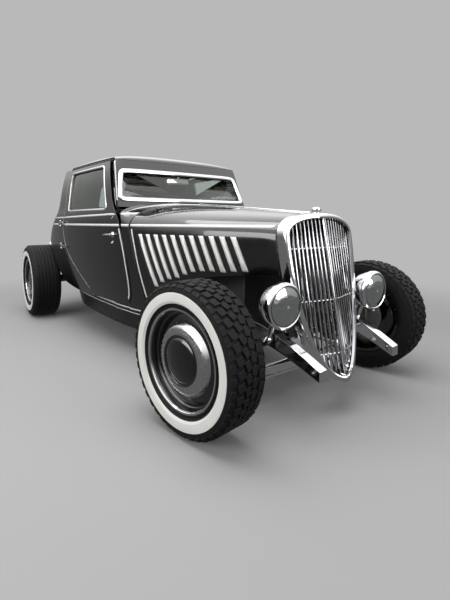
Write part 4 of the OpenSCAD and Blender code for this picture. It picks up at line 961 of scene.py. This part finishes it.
# In reflections the floor is a flat dim glow, painted shade for the floor in shadow, which keeps black panels
# black
floor_painted_shade = add(t, "ShaderNodeEmission", {"Color": linear("#ffffff"), "Strength": 0.16})
mirrored = add(t, "ShaderNodeLightPath")
floor_look = add(t, "ShaderNodeMixShader", {0: mirrored.outputs["Is Glossy Ray"],
                                            1: blend.outputs["Shader"], 2: floor_painted_shade.outputs["Emission"]})
t.links.new(floor_look.outputs["Shader"], t.nodes["Material Output"].inputs["Surface"])
bm = bmesh.new()
bmesh.ops.create_grid(bm, x_segments=1, y_segments=1, size=60.0)
mesh = bpy.data.meshes.new("floor")
bm.to_mesh(mesh)
bm.free()
mesh.materials.append(pale)
floor = bpy.data.objects.new("floor", mesh)
scene.collection.objects.link(floor)

world = bpy.data.worlds.new("studio")
scene.world = world
world.use_nodes = True
t = world.node_tree
light = t.nodes["Background"]
light.inputs["Color"].default_value = linear(backdrop_colour)
light.inputs["Strength"].default_value = 0.75
shown = add(t, "ShaderNodeBackground", {"Color": linear(backdrop_colour), "Strength": 1.0})
path = add(t, "ShaderNodeLightPath")
seen = add(t, "ShaderNodeMath", {0: path.outputs["Is Camera Ray"], 1: path.outputs["Is Transmission Ray"]},
           operation="MAXIMUM")
# Bright work reflects a dark room under a wide bright ceiling
aim = add(t, "ShaderNodeSeparateXYZ", {0: add(t, "ShaderNodeNewGeometry").outputs["Incoming"]})
ceiling = add(t, "ShaderNodeMapRange", {"Value": aim.outputs["Z"], "From Min": -0.02, "From Max": -0.6,
                                        "To Min": 0.16, "To Max": 1.7}, interpolation_type="SMOOTHSTEP")
room = add(t, "ShaderNodeBackground", {"Color": linear("#ffffff"), "Strength": ceiling.outputs["Result"]})
lit = add(t, "ShaderNodeMixShader", {0: path.outputs["Is Glossy Ray"], 1: light.outputs["Background"],
                                     2: room.outputs["Background"]})
pick = add(t, "ShaderNodeMixShader", {0: seen.outputs["Value"], 1: lit.outputs["Shader"],
                                      2: shown.outputs["Background"]})
t.links.new(pick.outputs["Shader"], t.nodes["World Output"].inputs["Surface"])


def softbox(name, position, target, size, power):
    """A large area lamp that looks at the target."""
    lamp = bpy.data.lights.new(name, "AREA")
    lamp.shape, lamp.size, lamp.size_y, lamp.energy = "RECTANGLE", size[0], size[1], power
    made = bpy.data.objects.new(name, lamp)
    made.location = position
    made.rotation_euler = (Vector(target) - Vector(position)).to_track_quat("-Z", "Y").to_euler()
    scene.collection.objects.link(made)


softbox("top", (0.5, -1.0, 4.2), (0, 0, 0.6), (5, 3), 160)
softbox("side", (1.0, -5.0, 2.2), (0, 0, 0.8), (5, 1.6), 110)
softbox("front", (5.5, 1.5, 2.0), (0.8, 0, 0.6), (2.5, 1.6), 60)

camera = bpy.data.cameras.new("camera")
camera.sensor_width = 36
camera.lens = 23.256
camera.shift_y = -0.0745
camera.clip_start, camera.clip_end = 0.05, 100
eye = bpy.data.objects.new("camera", camera)
eye.location = (2.8966, -1.5915, 0.9558)
yaw, pitch = radians(36.41), radians(4.99)
look = Vector((-cos(yaw) * cos(pitch), sin(yaw) * cos(pitch), -sin(pitch)))
eye.rotation_euler = look.to_track_quat("-Z", "Y").to_euler()
scene.collection.objects.link(eye)
scene.camera = eye
